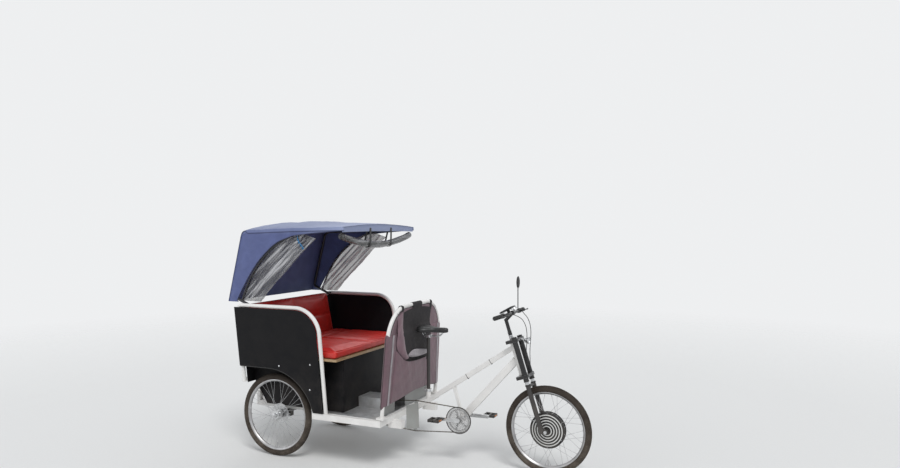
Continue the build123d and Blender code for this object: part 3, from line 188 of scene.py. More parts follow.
def on_steering(ahead, left, up):
    """A point given square to the steering axis, left of the middle and up the axis from the lower race."""
    return STEER_FOOT + STEER_AHEAD * ahead + Vector((0, left, 0)) + STEER_UP * up


def clear_selection():
    """Leave edit mode and deselect every object."""
    if bpy.context.mode != "OBJECT":
        bpy.ops.object.mode_set(mode="OBJECT")
    bpy.ops.object.select_all(action="DESELECT")


def pick(piece):
    """Make one piece the only selected and active one."""
    clear_selection()
    piece.select_set(True)
    bpy.context.view_layer.objects.active = piece


def settle(name):
    """Name the primitive that was just added and move its place into its mesh."""
    piece = bpy.context.active_object
    piece.name = name
    piece.data.name = name
    bpy.ops.object.transform_apply(location=True, rotation=True, scale=True)
    return piece


def modify(piece, kind, **settings):
    """Add one modifier with its settings and apply it."""
    pick(piece)
    modifier = piece.modifiers.new(kind.lower(), kind)
    for key, value in settings.items():
        setattr(modifier, key, value)
    bpy.ops.object.modifier_apply(modifier=modifier.name)
    return piece


def edit_faces(piece, wanted, *steps):
    """Select the faces that pass a test, then run the edit-mode steps on them."""
    pick(piece)
    bpy.ops.object.mode_set(mode="EDIT")
    bpy.ops.mesh.select_mode(type="FACE")
    bpy.ops.mesh.select_all(action="DESELECT")
    bpy.ops.object.mode_set(mode="OBJECT")
    for face in piece.data.polygons:
        face.select = wanted(face)
    bpy.ops.object.mode_set(mode="EDIT")
    for step in steps:
        step()
    bpy.ops.object.mode_set(mode="OBJECT")
    return piece


def edit_all(piece, *steps):
    """Run edit-mode steps on the whole mesh."""
    return edit_faces(piece, lambda face: True, *steps)


def outward(piece):
    """Merge doubled points and turn every face outwards."""
    return edit_all(
        piece,
        lambda: bpy.ops.mesh.remove_doubles(threshold=0.00002),
        lambda: bpy.ops.mesh.normals_make_consistent(inside=False),
    )


def copies(source, matrices, name):
    """Copy one piece's mesh to each place and join the copies into one piece."""
    made = []
    for matrix in matrices:
        twin = source.copy()
        twin.data = source.data.copy()
        twin.data.transform(matrix)
        bpy.context.collection.objects.link(twin)
        made.append(twin)
    bpy.data.objects.remove(source)
    return join(made, name)


def join(pieces, name):
    """Join several pieces into one."""
    clear_selection()
    for piece in pieces:
        piece.select_set(True)
    bpy.context.view_layer.objects.active = pieces[0]
    if len(pieces) > 1:
        bpy.ops.object.join()
    pieces[0].name = name
    pieces[0].data.name = name
    return pieces[0]


def along(direction):
    """The rotation that turns +Z to a direction."""
    return Vector(direction).to_track_quat("Z", "Y").to_matrix().to_4x4()


def facing_ring(centre, radius, count, start, side=1):
    """Places in a ring round a crossways axis, all facing one side. The first is at start degrees."""
    turns = [radians(start + 360 * k / count) for k in range(count)]
    return [Matrix.Translation(centre + Vector((radius * cos(turn), 0, radius * sin(turn)))) @ along((0, side, 0))
            for turn in turns]


def radial_ring(centre, radius, count, start=0.0):
    """Places in a ring round a crossways axis, each with its +Z away from the axis."""
    turns = [radians(start + 360 * k / count) for k in range(count)]
    return [Matrix.Translation(centre) @ Matrix.Rotation(turn, 4, "Y") @ Matrix.Translation((0, 0, radius))
            for turn in turns]


def cylinder(sides, radius, depth, centre=(0, 0, 0), turn=(0, 0, 0)):
    """Add a plain cylinder, upright unless it is turned."""
    clear_selection()
    bpy.ops.mesh.primitive_cylinder_add(vertices=sides, radius=radius, depth=depth, location=centre, rotation=turn)
    return bpy.context.active_object


def ball(segments, rings, radius, centre=(0, 0, 0)):
    """Add a plain ball."""
    clear_selection()
    bpy.ops.mesh.primitive_uv_sphere_add(segments=segments, ring_count=rings, radius=radius, location=centre)
    return bpy.context.active_object


def rod(name, start, end, radius, sides=12):
    """A round bar between two points."""
    start, end = Vector(start), Vector(end)
    piece = cylinder(sides, radius, (end - start).length)
    piece.data.transform(Matrix.Translation((start + end) / 2) @ along(end - start))
    piece.name = name
    return piece


def block(name, centre, size, rotation=None, bevel=0.001, segments=2):
    """A box with its edges rounded."""
    clear_selection()
    bpy.ops.mesh.primitive_cube_add(size=1)
    piece = bpy.context.active_object
    turn = rotation.to_4x4() if rotation else Matrix.Identity(4)
    piece.data.transform(Matrix.Translation(centre) @ turn @ Matrix.Diagonal((*size, 1)))
    piece.name = name
    if bevel:
        modify(piece, "BEVEL", width=bevel, segments=segments, limit_method="ANGLE")
    return piece


def lathe(name, centre, profile, steps=96, axis=(0, 1, 0)):
    """A closed outline of (radius, along the axis) points, spun round an axis through the centre."""
    clear_selection()
    bpy.ops.mesh.primitive_circle_add(vertices=len(profile), radius=0.01)
    piece = bpy.context.active_object
    for vertex, (radius, across) in zip(piece.data.vertices, profile):
        vertex.co = (radius, 0, across)
    edit_all(
        piece,
        lambda: bpy.ops.mesh.select_mode(type="VERT"),
        lambda: bpy.ops.mesh.select_all(action="SELECT"),
        lambda: bpy.ops.mesh.spin(steps=steps, angle=2 * pi, center=(0, 0, 0), axis=(0, 0, 1)),
    )
    outward(piece)
    piece.data.transform(Matrix.Translation(centre) @ along(axis))
    piece.name = name
    return piece


def collar(name, centre, bore, radius, length, edge, steps, axis=(0, 1, 0)):
    """A sleeve from its centre along the axis. Its outer edges are taken off by (across, along)."""
    across, run = edge
    return lathe(name, centre, (
        (bore, 0), (radius - across, 0), (radius, run), (radius, length - run), (radius - across, length),
        (bore, length),
    ), steps, axis)


def flat_ring(name, centre, inner, outer, half, steps=96):
    """A flat ring round a crossways axis, this far to both sides of its centre."""
    return lathe(name, centre, ((inner, -half), (outer, -half), (outer, half), (inner, half)), steps)


def box_of(name):
    """The low and the high corner of a CAD node's box."""
    return [Vector(corner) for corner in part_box(name)]


def sheet_grid(name, columns, rows, surface):
    """A grid of columns by rows whose points are put on a surface given by two numbers from 0 to 1."""
    clear_selection()
    bpy.ops.mesh.primitive_grid_add(x_subdivisions=columns, y_subdivisions=rows, size=2)
    piece = bpy.context.active_object
    for vertex in piece.data.vertices:
        vertex.co = surface((vertex.co.x + 1) / 2, (vertex.co.y + 1) / 2)
    piece.name = name
    return piece


def thicken(piece, thickness):
    """Give a sheet its thickness to both sides and turn its faces outwards."""
    modify(piece, "SOLIDIFY", thickness=thickness, offset=0.0)
    return outward(piece)


def tube(name, points, radius, sides=10, closed=False):
    """A round cord or bead along a smooth curve through the neighbourhood of its points."""
    curve = bpy.data.curves.new(name, "CURVE")
    curve.dimensions = "3D"
    curve.bevel_depth = radius
    curve.bevel_resolution = max(0, sides // 4 - 1)
    curve.use_fill_caps = True
    curve.resolution_u = 6
    spline = curve.splines.new("NURBS")
    spline.points.add(len(points) - 1)
    for point, where in zip(spline.points, points):
        point.co = (*where, 1)
    spline.use_cyclic_u = closed
    spline.order_u = 3
    spline.use_endpoint_u = not closed
    piece = bpy.data.objects.new(name, curve)
    bpy.context.collection.objects.link(piece)
    pick(piece)
    bpy.ops.object.convert(target="MESH")
    return bpy.context.active_object


def dress(piece, name, finish, body="root", replaced=(), smooth=35):
    """Give a finished piece its name, smooth shading, finish, body and the CAD nodes it stands for."""
    pick(piece)
    bpy.ops.object.transform_apply(location=True, rotation=True, scale=True)
    if smooth:
        bpy.ops.object.shade_smooth_by_angle(angle=radians(smooth))
    piece.name = name
    piece.data.name = name
    piece.data.materials.clear()
    piece.data.materials.append(bpy.data.materials[finish])
    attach(piece, body)
    if replaced:
        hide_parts(*replaced)
    return piece


def bolt_heads(name, places, body="root", sides=6, radius=0.0055, depth=0.006, bevel=0.0006, steps=1, smooth=30):
    """A steel bolt head at each place."""
    head = cylinder(sides, radius, depth)
    modify(head, "BEVEL", width=bevel, segments=steps, limit_method="ANGLE")
    return dress(copies(head, places, "bolts"), name, "polished_steel", body, smooth=smooth)


def between(rows, ahead, column):
    """Smooth interpolation of one column of three rows by the first column."""
    total = 0
    for i, row in enumerate(rows):
        share = 1
        for j, other in enumerate(rows):
            if i != j:
                share *= (ahead - other[0]) / (row[0] - other[0])
        total += share * row[column]
    return total


def ripple(x, y, seed=0.0):
    """A soft uneven wave from -1 to 1 over a surface."""
    return (
        sin(3.1 * x + 1.7 * y + seed)
        + 0.6 * sin(5.3 * y - 2.9 * x + 2.1 * seed)
        + 0.4 * sin(9.7 * x + 7.1 * y + 0.7 * seed)
    ) / 2


def length(label, text, value, high, low=0.0):
    """A length property with its name, description, default and range."""
    return bpy.props.FloatProperty(name=label, description=text, default=value, min=low, max=high, unit="LENGTH")


class RickshawSizes(bpy.types.PropertyGroup):
    """Sizes that a user may change."""

    spoke_radius: length("Spoke radius", "Half the thickness of one spoke", 0.00115, 0.003, 0.0005)
    tread_depth: length("Tread depth", "How far the tread blocks stand out of the tyre", 0.0018, 0.004)
    roof_sag: length("Roof sag", "How far the roof cloth hangs between two cross bars", 0.009, 0.02)
    curtain_fold: length("Curtain fold", "Depth of the gathers in the side curtains", 0.008, 0.02)
    cushion_pressure: bpy.props.FloatProperty(
        name="Cushion pressure", description="Inflation used when the cushions are simulated", default=4.0, min=0.0,
        max=10.0,
    )
    piping_radius: length("Piping radius", "Half the thickness of the hood's piping", 0.0035, 0.008, 0.001)


def colour(label, text, value):
    """A colour property with its name, description and default."""
    return bpy.props.FloatVectorProperty(
        name=label, description=text, subtype="COLOR", size=4, min=0.0, max=1.0, default=(*value, 1.0)
    )


class RickshawColours(bpy.types.PropertyGroup):
    """Colours that a user may change."""

    frame_paint: colour("Frame paint", "Paint of the bicycle frame, hoops and floor beams", (0.90, 0.885, 0.86))
    panel_black: colour("Panel black", "Satin black of the body panels", (0.009, 0.009, 0.0105))
    hood_blue: colour("Hood blue", "Coated cloth of the hood", (0.090, 0.117, 0.285))
    # The hood's top colour is a paler copy of its cloth, a painted highlight where the roof's top faces the light
    hood_top_highlight: colour("Hood ridge", "Paler, worn cloth along the hood's top edges", (0.22, 0.26, 0.42))
    cover_mauve: colour("Cover mauve", "Cloth of the front cover", (0.150, 0.086, 0.106))
    seat_red: colour("Seat red", "Smooth covering of the two cushions", (0.62, 0.026, 0.018))
    road_dust: colour("Road dust", "Dust that gathers low on the vehicle", (0.26, 0.22, 0.18))


def fill(tree, inputs, sockets):
    """Give each named socket its value or the output that feeds it."""
    for key, value in (sockets or {}).items():
        if isinstance(value, bpy.types.NodeSocket):
            tree.links.new(value, inputs[key])
        else:
            inputs[key].default_value = value


def node(tree, kind, sockets=None, **settings):
    """Add a shader node. Each socket is given a value or the output that feeds it."""
    made = tree.nodes.new("ShaderNode" + kind)
    for key, value in settings.items():
        setattr(made, key, value)
    fill(tree, made.inputs, sockets)
    return made


def here(tree):
    """The Object coordinates."""
    return node(tree, "TexCoord").outputs["Object"]


def noise(tree, where, scale, detail, **more):
    """The value of one Noise Texture node."""
    return node(tree, "TexNoise", {"Vector": where, "Scale": scale, "Detail": detail, **more}).outputs[0]


def maths(tree, operation, first, second=0.5, clamp=False):
    """The output of one Math node."""
    return node(tree, "Math", {0: first, 1: second}, operation=operation, use_clamp=clamp).outputs[0]


def times(tree, first, second, clamp=False):
    """The product of two values."""
    return maths(tree, "MULTIPLY", first, second, clamp)


def plus(tree, first, second, clamp=False):
    """The sum of two values."""
    return maths(tree, "ADD", first, second, clamp)


def remap(tree, value, low, high, to_low=0.0, to_high=1.0):
    """The output of a clamped Map Range node."""
    sockets = {"Value": value, "From Min": low, "From Max": high, "To Min": to_low, "To Max": to_high}
    return node(tree, "MapRange", sockets).outputs[0]


def mix(tree, factor, first, second, kind="MIX"):
    """The output of a colour Mix node."""
    made = node(tree, "Mix", {0: factor, 6: first, 7: second}, data_type="RGBA", blend_type=kind)
    return made.outputs[2]


def group(name, inputs, outputs):
    """A new node group with its sockets. Returns its tree, its inputs and its outputs' sockets."""
    tree = bpy.data.node_groups.new(name, "ShaderNodeTree")
    for label, kind, default in inputs:
        socket = tree.interface.new_socket(label, in_out="INPUT", socket_type="NodeSocket" + kind)
        socket.default_value = default
    for label, kind in outputs:
        tree.interface.new_socket(label, in_out="OUTPUT", socket_type="NodeSocket" + kind)
    return tree, tree.nodes.new("NodeGroupInput").outputs, tree.nodes.new("NodeGroupOutput").inputs


def make_groups():
    """Build the effects that several finishes share."""
    # Dust and splashes, thickest near the road
    tree, given, gives = group(
        "road_dust",
        [("Clean", "Color", (0.5, 0.5, 0.5, 1)), ("Dust", "Color", (0.3, 0.25, 0.2, 1)), ("Amount", "Float", 0.5),
         ("Reach", "Float", 0.7), ("Scale", "Float", 9.0)],
        [("Color", "Color"), ("Mask", "Float")],
    )
    where = here(tree)
    height = node(tree, "SeparateXYZ", {0: where}).outputs["Z"]
    low = node(tree, "MapRange", {"Value": height, "From Min": 0.0, "From Max": given["Reach"],
                                  "To Min": 1.0, "To Max": 0.12}).outputs[0]
    cloud = noise(tree, where, given["Scale"], 6.0, Roughness=0.62)
    specks = noise(tree, where, 140.0, 2.0)
    patch = remap(tree, cloud, 0.36, 0.72)
    speck = remap(tree, specks, 0.55, 0.7, 0.0, 0.5)
    both = plus(tree, patch, speck, clamp=True)
    mask = times(tree, times(tree, both, low), given["Amount"], clamp=True)
    tree.links.new(mask, gives["Mask"])
    tree.links.new(mix(tree, mask, given["Clean"], given["Dust"]), gives["Color"])

    # Rubbed edges and corners
    tree, given, gives = group(
        "edge_wear", [("Radius", "Float", 0.003), ("Amount", "Float", 0.5)], [("Mask", "Float")]
    )
    rounded = node(tree, "Bevel", {"Radius": given["Radius"]}, samples=4).outputs[0]
    true = node(tree, "NewGeometry").outputs["Normal"]
    facing = node(tree, "VectorMath", {0: rounded, 1: true}, operation="DOT_PRODUCT").outputs["Value"]
    where = here(tree)
    patch = noise(tree, where, 30.0, 5.0)
    edge = remap(tree, facing, 0.97, 0.80)
    worn = times(tree, edge, remap(tree, patch, 0.48, 0.62))
    tree.links.new(times(tree, worn, given["Amount"], clamp=True), gives["Mask"])

    # Fine uneven grain that tilts the surface
    tree, given, gives = group(
        "grain", [("Scale", "Float", 300.0), ("Strength", "Float", 0.1), ("Distance", "Float", 0.001)],
        [("Normal", "Vector"), ("Value", "Float")],
    )
    where = here(tree)
    pits = noise(tree, where, given["Scale"], 4.0)
    tilted = node(tree, "Bump", {"Height": pits, "Strength": given["Strength"], "Distance": given["Distance"]})
    tree.links.new(tilted.outputs[0], gives["Normal"])
    tree.links.new(pits, gives["Value"])

    # Two crossing sets of threads with creases under them
    tree, given, gives = group(
        "woven", [("Threads", "Float", 900.0), ("Crease Scale", "Float", 9.0), ("Crease Depth", "Float", 0.4)],
        [("Height", "Float"), ("Threads", "Float"), ("Creases", "Float")],
    )
    where = here(tree)
    parts = node(tree, "SeparateXYZ", {0: where}).outputs
    warp = plus(tree, parts["X"], parts["Y"])
    slant = maths(tree, "SUBTRACT", parts["X"], parts["Y"])
    weft = plus(tree, slant, times(tree, parts["Z"], 1.4))
    threads = [
        maths(tree, "SINE", times(tree, run, times(tree, given["Threads"], 2 * pi)))
        for run in (warp, weft)
    ]
    cross = remap(tree, times(tree, threads[0], threads[1]), -1.0, 1.0)
    bent = node(tree, "TexNoise", {"Vector": where, "Scale": 2.2, "Detail": 2.0}).outputs[1]
    moved = node(tree, "VectorMath", {0: where, 1: bent}, operation="ADD").outputs[0]
    creases = noise(tree, moved, given["Crease Scale"], 5.0, Roughness=0.5, Distortion=0.6)
    deep = times(tree, creases, given["Crease Depth"])
    tree.links.new(plus(tree, deep, times(tree, cross, 0.02)), gives["Height"])
    tree.links.new(cross, gives["Threads"])
    tree.links.new(creases, gives["Creases"])


def use_group(tree, name, sockets=None):
    """Place one of the shared effects in a material."""
    made = tree.nodes.new("ShaderNodeGroup")
    made.node_tree = bpy.data.node_groups[name]
    fill(tree, made.inputs, sockets)
    return made.outputs


def new_finish(name, **constants):
    """A new material with its shader, whose plain values are given by socket name."""
    material = bpy.data.materials.new(name)
    material.use_nodes = True
    tree = material.node_tree
    shader = tree.nodes["Principled BSDF"]
    for key, value in constants.items():
        shader.inputs[key.replace("_", " ")].default_value = value
    return tree, shader.inputs


def colours():
    """The colours that a user may change."""
    return bpy.context.scene.rickshaw_colours


def sizes():
    """The sizes that a user may change."""
    return bpy.context.scene.rickshaw_sizes


def tinted(tint, factor=1.0, lift=0.0):
    """A colour made darker or paler, with full alpha."""
    return (*(min(1.0, value * factor + lift) for value in tuple(tint)[:3]), 1)


def dusted(tree, shader, clean, amount, reach=0.7):
    """Colour a finish with road dust over it, up to a height above the ground. Returns the dust's mask."""
    sockets = {"Clean": clean, "Dust": tuple(colours().road_dust), "Amount": amount, "Reach": reach}
    dust = use_group(tree, "road_dust", sockets)
    tree.links.new(dust["Color"], shader["Base Color"])
    return dust["Mask"]


def relief(tree, shader, height, strength, distance):
    """Tilt a finish's surface by a height."""
    made = node(tree, "Bump", {"Height": height, "Strength": strength, "Distance": distance})
    tree.links.new(made.outputs[0], shader["Normal"])


def painted(name, paint, rough, dust=0.5, chip=(0.25, 0.24, 0.23, 1), wear=0.6, reach=0.7, grain=0.06, coat=0.15,
            **constants):
    """Painted metal: uneven gloss, chipped edges and dust low down."""
    tree, shader = new_finish(name, Coat_Weight=coat, Coat_Roughness=0.25, **constants)
    where = here(tree)
    tone = noise(tree, where, 4.0, 4.0)
    base = mix(tree, remap(tree, tone, 0.35, 0.7), tinted(paint), tinted(paint, 0.88))
    worn = use_group(tree, "edge_wear", {"Amount": wear})["Mask"]
    chipped = mix(tree, worn, base, chip)
    mask = dusted(tree, shader, chipped, dust, reach)
    uneven = remap(tree, tone, 0.3, 0.7, rough - 0.06, rough + 0.08)
    tree.links.new(plus(tree, uneven, times(tree, mask, 0.4), clamp=True), shader["Roughness"])
    tree.links.new(use_group(tree, "grain", {"Scale": 260.0, "Strength": grain})["Normal"], shader["Normal"])


def bare_metal(name, tint, rough, streak=(1, 1, 1), dust=0.35, reach=0.6):
    """Bare metal with brushed streaks, fingerprints and a little dust."""
    tree, shader = new_finish(name)
    where = here(tree)
    stretched = node(tree, "Mapping", {"Vector": where, "Scale": streak}).outputs[0]
    lines = noise(tree, stretched, 160.0, 3.0)
    marks = noise(tree, where, 14.0, 5.0)
    base = mix(tree, remap(tree, marks, 0.4, 0.7), tinted(tint), tinted(tint, 0.72))
    mask = dusted(tree, shader, base, dust, reach)
    tree.links.new(remap(tree, mask, 0.0, 1.0, 1.0, 0.25), shader["Metallic"])
    gloss = remap(tree, lines, 0.25, 0.75, rough - 0.06, rough + 0.1)
    tree.links.new(plus(tree, gloss, times(tree, mask, 0.4), clamp=True), shader["Roughness"])
    relief(tree, shader, lines, 0.05, 0.0005)
    return tree, shader


def cloth(name, first, second, threads=900.0, crease=0.4, scale=9.0, dust=0.15, rough=0.8, bump=0.35, sheen=0.2):
    """Woven cloth with threads, soft creases and faded patches."""
    tree, shader = new_finish(name, Sheen_Weight=sheen, Sheen_Roughness=0.5)
    woven = use_group(tree, "woven", {"Threads": threads, "Crease Depth": crease, "Crease Scale": scale})
    toned = remap(tree, woven["Creases"], 0.35, 0.68)
    base = mix(tree, toned, tinted(first), tinted(second))
    thread = mix(tree, times(tree, woven["Threads"], 0.25), base, tinted(first, 0.55))
    dusted(tree, shader, thread, dust, 1.6)
    tree.links.new(remap(tree, woven["Creases"], 0.3, 0.7, rough - 0.08, rough + 0.08), shader["Roughness"])
    relief(tree, shader, woven["Height"], bump, 0.012)
    return tree, shader, base


def moulded(name, tint, rough, scale=420.0, strength=0.12, dust=0.4, **constants):
    """Moulded rubber or plastic with a fine grain and dust."""
    tree, shader = new_finish(name, **constants)
    grain = use_group(tree, "grain", {"Scale": scale, "Strength": strength})
    base = mix(tree, remap(tree, grain["Value"], 0.4, 0.75), tinted(tint), tinted(tint, 1.9, 0.01))
    dusted(tree, shader, base, dust)
    tree.links.new(remap(tree, grain["Value"], 0.3, 0.7, rough - 0.08, rough + 0.1), shader["Roughness"])
    tree.links.new(grain["Normal"], shader["Normal"])


def hide_covering(name, tint, rough, scale=260.0, depth=0.25, **constants):
    """Smooth vinyl or leather with pores and soft stretch marks."""
    tree, shader = new_finish(name, Coat_Weight=0.2, Coat_Roughness=0.35, **constants)
    where = here(tree)
    pores = node(tree, "TexVoronoi", {"Vector": where, "Scale": scale}, feature="SMOOTH_F1").outputs["Distance"]
    marks = noise(tree, where, 11.0, 5.0)
    base = mix(tree, remap(tree, marks, 0.4, 0.68), tinted(tint), tinted(tint, 0.82))
    dusted(tree, shader, base, 0.15)
    tree.links.new(remap(tree, marks, 0.3, 0.7, rough - 0.07, rough + 0.08), shader["Roughness"])
    height = plus(tree, times(tree, pores, 0.3), times(tree, marks, 0.7))
    relief(tree, shader, height, depth, 0.003)


def make_seat_wood():
    """Varnished plywood: long grain on its faces and thin layers on its edges."""
    tree, shader = new_finish("seat_wood", Coat_Weight=0.4, Coat_Roughness=0.2)
    where = here(tree)
    grain = node(tree, "Mapping", {"Vector": where, "Scale": (24.0, 1.6, 24.0)}).outputs[0]
    lines = noise(tree, grain, 3.0, 8.0, Distortion=1.2)
    layers = node(tree, "TexWave", {"Vector": where, "Scale": 70.0}, bands_direction="Z").outputs["Fac"]
    wood = mix(tree, remap(tree, lines, 0.35, 0.65), (0.52, 0.38, 0.22, 1), (0.33, 0.21, 0.10, 1))
    edge = mix(tree, remap(tree, layers, 0.4, 0.6, 0.0, 0.35), wood, (0.2, 0.12, 0.06, 1))
    tree.links.new(edge, shader["Base Color"])
    tree.links.new(remap(tree, lines, 0.3, 0.7, 0.3, 0.45), shader["Roughness"])
    relief(tree, shader, lines, 0.12, 0.001)


def make_deck_alloy():
    """Ribbed aluminium of the passenger floor: ribs along the vehicle."""
    tree, shader = bare_metal("deck_alloy", (0.62, 0.63, 0.64), 0.38, (1, 12, 1), dust=0.6, reach=0.9)
    where = here(tree)
    ribs = node(tree, "TexWave", {"Vector": where, "Scale": 22.0}, bands_direction="Y").outputs["Fac"]
    relief(tree, shader, ribs, 0.6, 0.002)


def make_clear_pvc(name, veil, shade):
    """Soft clear sheet: grey and milky along its folds, glossy, and seen through elsewhere. Its colour is paler along
    the fold lines and in cloudy patches, which are painted highlights, and the shade factor darkens it as painted
    shade.
    """
    tree, shader = new_finish(name, Specular_IOR_Level=0.6, Coat_Weight=0.3, Coat_Roughness=0.12)
    where = here(tree)
    clouds = noise(tree, where, 16.0, 4.0, Distortion=0.8)
    slant = node(tree, "Mapping", {"Vector": where, "Rotation": (0, radians(-43), 0), "Scale": (1.1, 1.1, 0.05)},
                 vector_type="TEXTURE")
    lines = noise(tree, slant.outputs[0], 2.0, 3.0)
    edge = node(tree, "LayerWeight", {"Blend": 0.4}).outputs["Facing"]
    folds = remap(tree, lines, 0.44, 0.62)
    milky = remap(tree, plus(tree, times(tree, edge, 0.5), folds), 0.1, 1.2, *veil)
    # Paler along the slanted fold lines and in cloudy patches: painted highlights
    base = mix(tree, folds, tinted((0.17, 0.17, 0.168), shade), tinted((0.58, 0.58, 0.60), shade))
    pale = mix(tree, remap(tree, clouds, 0.66, 0.80), base, tinted((0.6, 0.6, 0.6), shade))
    tree.links.new(pale, shader["Base Color"])
    tree.links.new(milky, shader["Alpha"])
    tree.links.new(remap(tree, clouds, 0.3, 0.7, 0.14, 0.32), shader["Roughness"])
    relief(tree, shader, plus(tree, clouds, lines), 0.5, 0.01)


def make_glasses():
    """Mirror silver, lamp glass, the display's dark glass and the amber of the pedals' reflectors."""
    for name, first, second, rough, constants in (
        ("mirror_silver", (0.80, 0.82, 0.84, 1), (0.66, 0.68, 0.71, 1), 0.04, {"Metallic": 1.0}),
        ("lamp_glass", (0.82, 0.83, 0.84, 1), (0.62, 0.64, 0.66, 1), 0.10,
         {"Coat_Weight": 1.0, "Coat_Roughness": 0.03}),
        ("screen_glass", (0.030, 0.034, 0.036, 1), (0.055, 0.062, 0.064, 1), 0.12, {"Coat_Weight": 0.6}),
        ("amber_lens", (0.62, 0.20, 0.012, 1), (0.42, 0.11, 0.008, 1), 0.22, {"Coat_Weight": 0.6}),
    ):
        tree, shader = new_finish(name, **constants)
        where = here(tree)
        smears = noise(tree, where, 45.0, 4.0, Distortion=1.0)
        prisms = node(tree, "TexVoronoi", {"Vector": where, "Scale": 260.0}).outputs["Distance"]
        tree.links.new(mix(tree, remap(tree, smears, 0.4, 0.65), first, second), shader["Base Color"])
        tree.links.new(remap(tree, smears, 0.35, 0.7, rough, rough + 0.14), shader["Roughness"])
        if name in ("lamp_glass", "amber_lens"):
            relief(tree, shader, prisms, 0.3, 0.001)


def make_guard_plate():
    """The chain guard's clear plastic plate, scuffed and a little milky."""
    tree, shader = new_finish("guard_plate", Specular_IOR_Level=0.6)
    where = here(tree)
    scuffs = noise(tree, where, 38.0, 6.0, Distortion=1.4)
    worn = remap(tree, scuffs, 0.45, 0.7)
    tree.links.new(mix(tree, worn, (0.34, 0.335, 0.33, 1), (0.56, 0.55, 0.54, 1)), shader["Base Color"])
    tree.links.new(remap(tree, worn, 0.0, 1.0, 0.30, 0.55), shader["Alpha"])
    tree.links.new(remap(tree, worn, 0.0, 1.0, 0.15, 0.4), shader["Roughness"])


def make_hood_cloth():
    """The hood's coated cloth: a painted highlight makes it paler over the roof than down its sides, and another pales
    it towards its front.
    """
    chosen = colours()
    tree, shader, base = cloth("hood_cloth", chosen.hood_blue, tinted(chosen.hood_blue, 0.8), threads=700.0,
                               crease=0.5, scale=6.0, dust=0.1, rough=0.62, bump=0.3)
    where = here(tree)
    axes = node(tree, "SeparateXYZ", {0: where}).outputs
    uneven = noise(tree, where, 7.0, 4.0)
    # Paler over the roof's top: painted highlight where the roof faces the light
    ridge = remap(tree, plus(tree, axes["Z"], times(tree, uneven, 0.03)), 1.80, 1.86)
    toned = mix(tree, times(tree, ridge, 0.75), base, tuple(chosen.hood_top_highlight))
    # A painted highlight that pales the cloth towards the hood's front edge
    ahead = plus(tree, axes["X"], times(tree, uneven, 0.1))
    front = remap(tree, ahead, *HOOD_FRONT_HIGHLIGHT, 0.0, 0.8)
    tree.links.new(mix(tree, front, toned, (0.30, 0.35, 0.53, 1)), shader["Base Color"])


def make_finishes():
    """Build every material by the name of its slot in the record."""
    for plain in bpy.data.materials:
        plain.name = "packed_" + plain.name
    chosen = colours()
    make_groups()
    painted("white_paint", chosen.frame_paint, 0.34, dust=0.32, reach=0.6)
    painted("black_panel", chosen.panel_black, 0.42, dust=0.16, chip=(0.12, 0.12, 0.12, 1), wear=0.3, reach=0.8,
            coat=0.0, Specular_IOR_Level=0.12)
    painted("grey_paint", (0.36, 0.37, 0.36, 1), 0.45, dust=0.5)
    painted("hood_tube", (0.02, 0.02, 0.024, 1), 0.4, dust=0.1)
    painted("black_metal", (0.012, 0.012, 0.013, 1), 0.3, dust=0.4, chip=(0.3, 0.3, 0.3, 1), wear=0.8)
    painted("dark_metal", (0.034, 0.031, 0.030, 1), 0.38, dust=0.35, chip=(0.4, 0.4, 0.4, 1), wear=0.8)
    bare_metal("polished_steel", (0.72, 0.73, 0.74), 0.2)
    bare_metal("polished_alloy", (0.76, 0.77, 0.78), 0.26, (1, 1, 6))
    bare_metal("rim_alloy", (0.55, 0.55, 0.56), 0.3, dust=0.4)
    bare_metal("chain_steel", (0.24, 0.22, 0.19), 0.35, dust=0.6)
    moulded("black_rubber", (0.014, 0.014, 0.014), 0.75)
    moulded("black_plastic", (0.013, 0.013, 0.014), 0.42, strength=0.08)
    moulded("tyre_rubber", (0.024, 0.018, 0.014), 0.85, scale=300.0, dust=0.5, Specular_IOR_Level=0.22)
    hide_covering("red_vinyl", chosen.seat_red, 0.36)
    hide_covering("saddle_black", (0.012, 0.012, 0.013), 0.42, depth=0.15)
    cloth("cover_cloth", chosen.cover_mauve, tinted(chosen.cover_mauve, 1.3), threads=600.0, crease=0.5, scale=12.0,
          rough=0.7)
    cloth("webbing", (0.012, 0.012, 0.013), (0.03, 0.03, 0.032), threads=330.0, crease=0.1, bump=0.5)
    piping = tinted(chosen.hood_blue, 0.35)
    cloth("hood_piping_cloth", piping, tinted(piping, 1.4), threads=500.0, crease=0.2, dust=0.1)
    make_hood_cloth()
    make_seat_wood()
    make_deck_alloy()
    painted("motor_paint", (0.010, 0.010, 0.011, 1), 0.34, dust=0.35, chip=(0.2, 0.2, 0.2, 1), Specular_IOR_Level=0.35)
    painted("motor_ring_paint", (0.74, 0.74, 0.72, 1), 0.4, dust=0.3)
    make_clear_pvc("clear_pvc", (0.40, 0.85), 1.0)
    # The rolled curtain's colours are darkened to 0.4 of the side curtains': painted shade under the hood
    make_clear_pvc("clear_pvc_rolled", (0.82, 0.97), 0.4)
    make_guard_plate()
    make_glasses()
    # Black cloth of the cover's piping and loops, also used as painted shade inside the bag's mouth
    cloth("cover_black_cloth", (0.014, 0.012, 0.014), (0.024, 0.021, 0.024), threads=600.0, crease=0.4, rough=0.85,
          sheen=0.0)
    # The flap's paler copy of the cover cloth is a painted highlight where the flap faces the light
    flap = tinted(chosen.cover_mauve, 1.5)
    cloth("cover_flap_cloth", flap, tinted(flap, 0.75), threads=600.0, crease=0.5, scale=12.0, rough=0.7)
    cloth("webbing_grey_cloth", (0.40, 0.37, 0.39), (0.29, 0.26, 0.28), threads=420.0, crease=0.2, bump=0.5)
    cloth("blue_cord", (0.03, 0.26, 0.56), (0.02, 0.17, 0.40), threads=700.0, crease=0.1, bump=0.5)


class RickshawOperator(bpy.types.Operator):
    """What the rickshaw's operators share."""

    bl_options = {"REGISTER", "UNDO"}


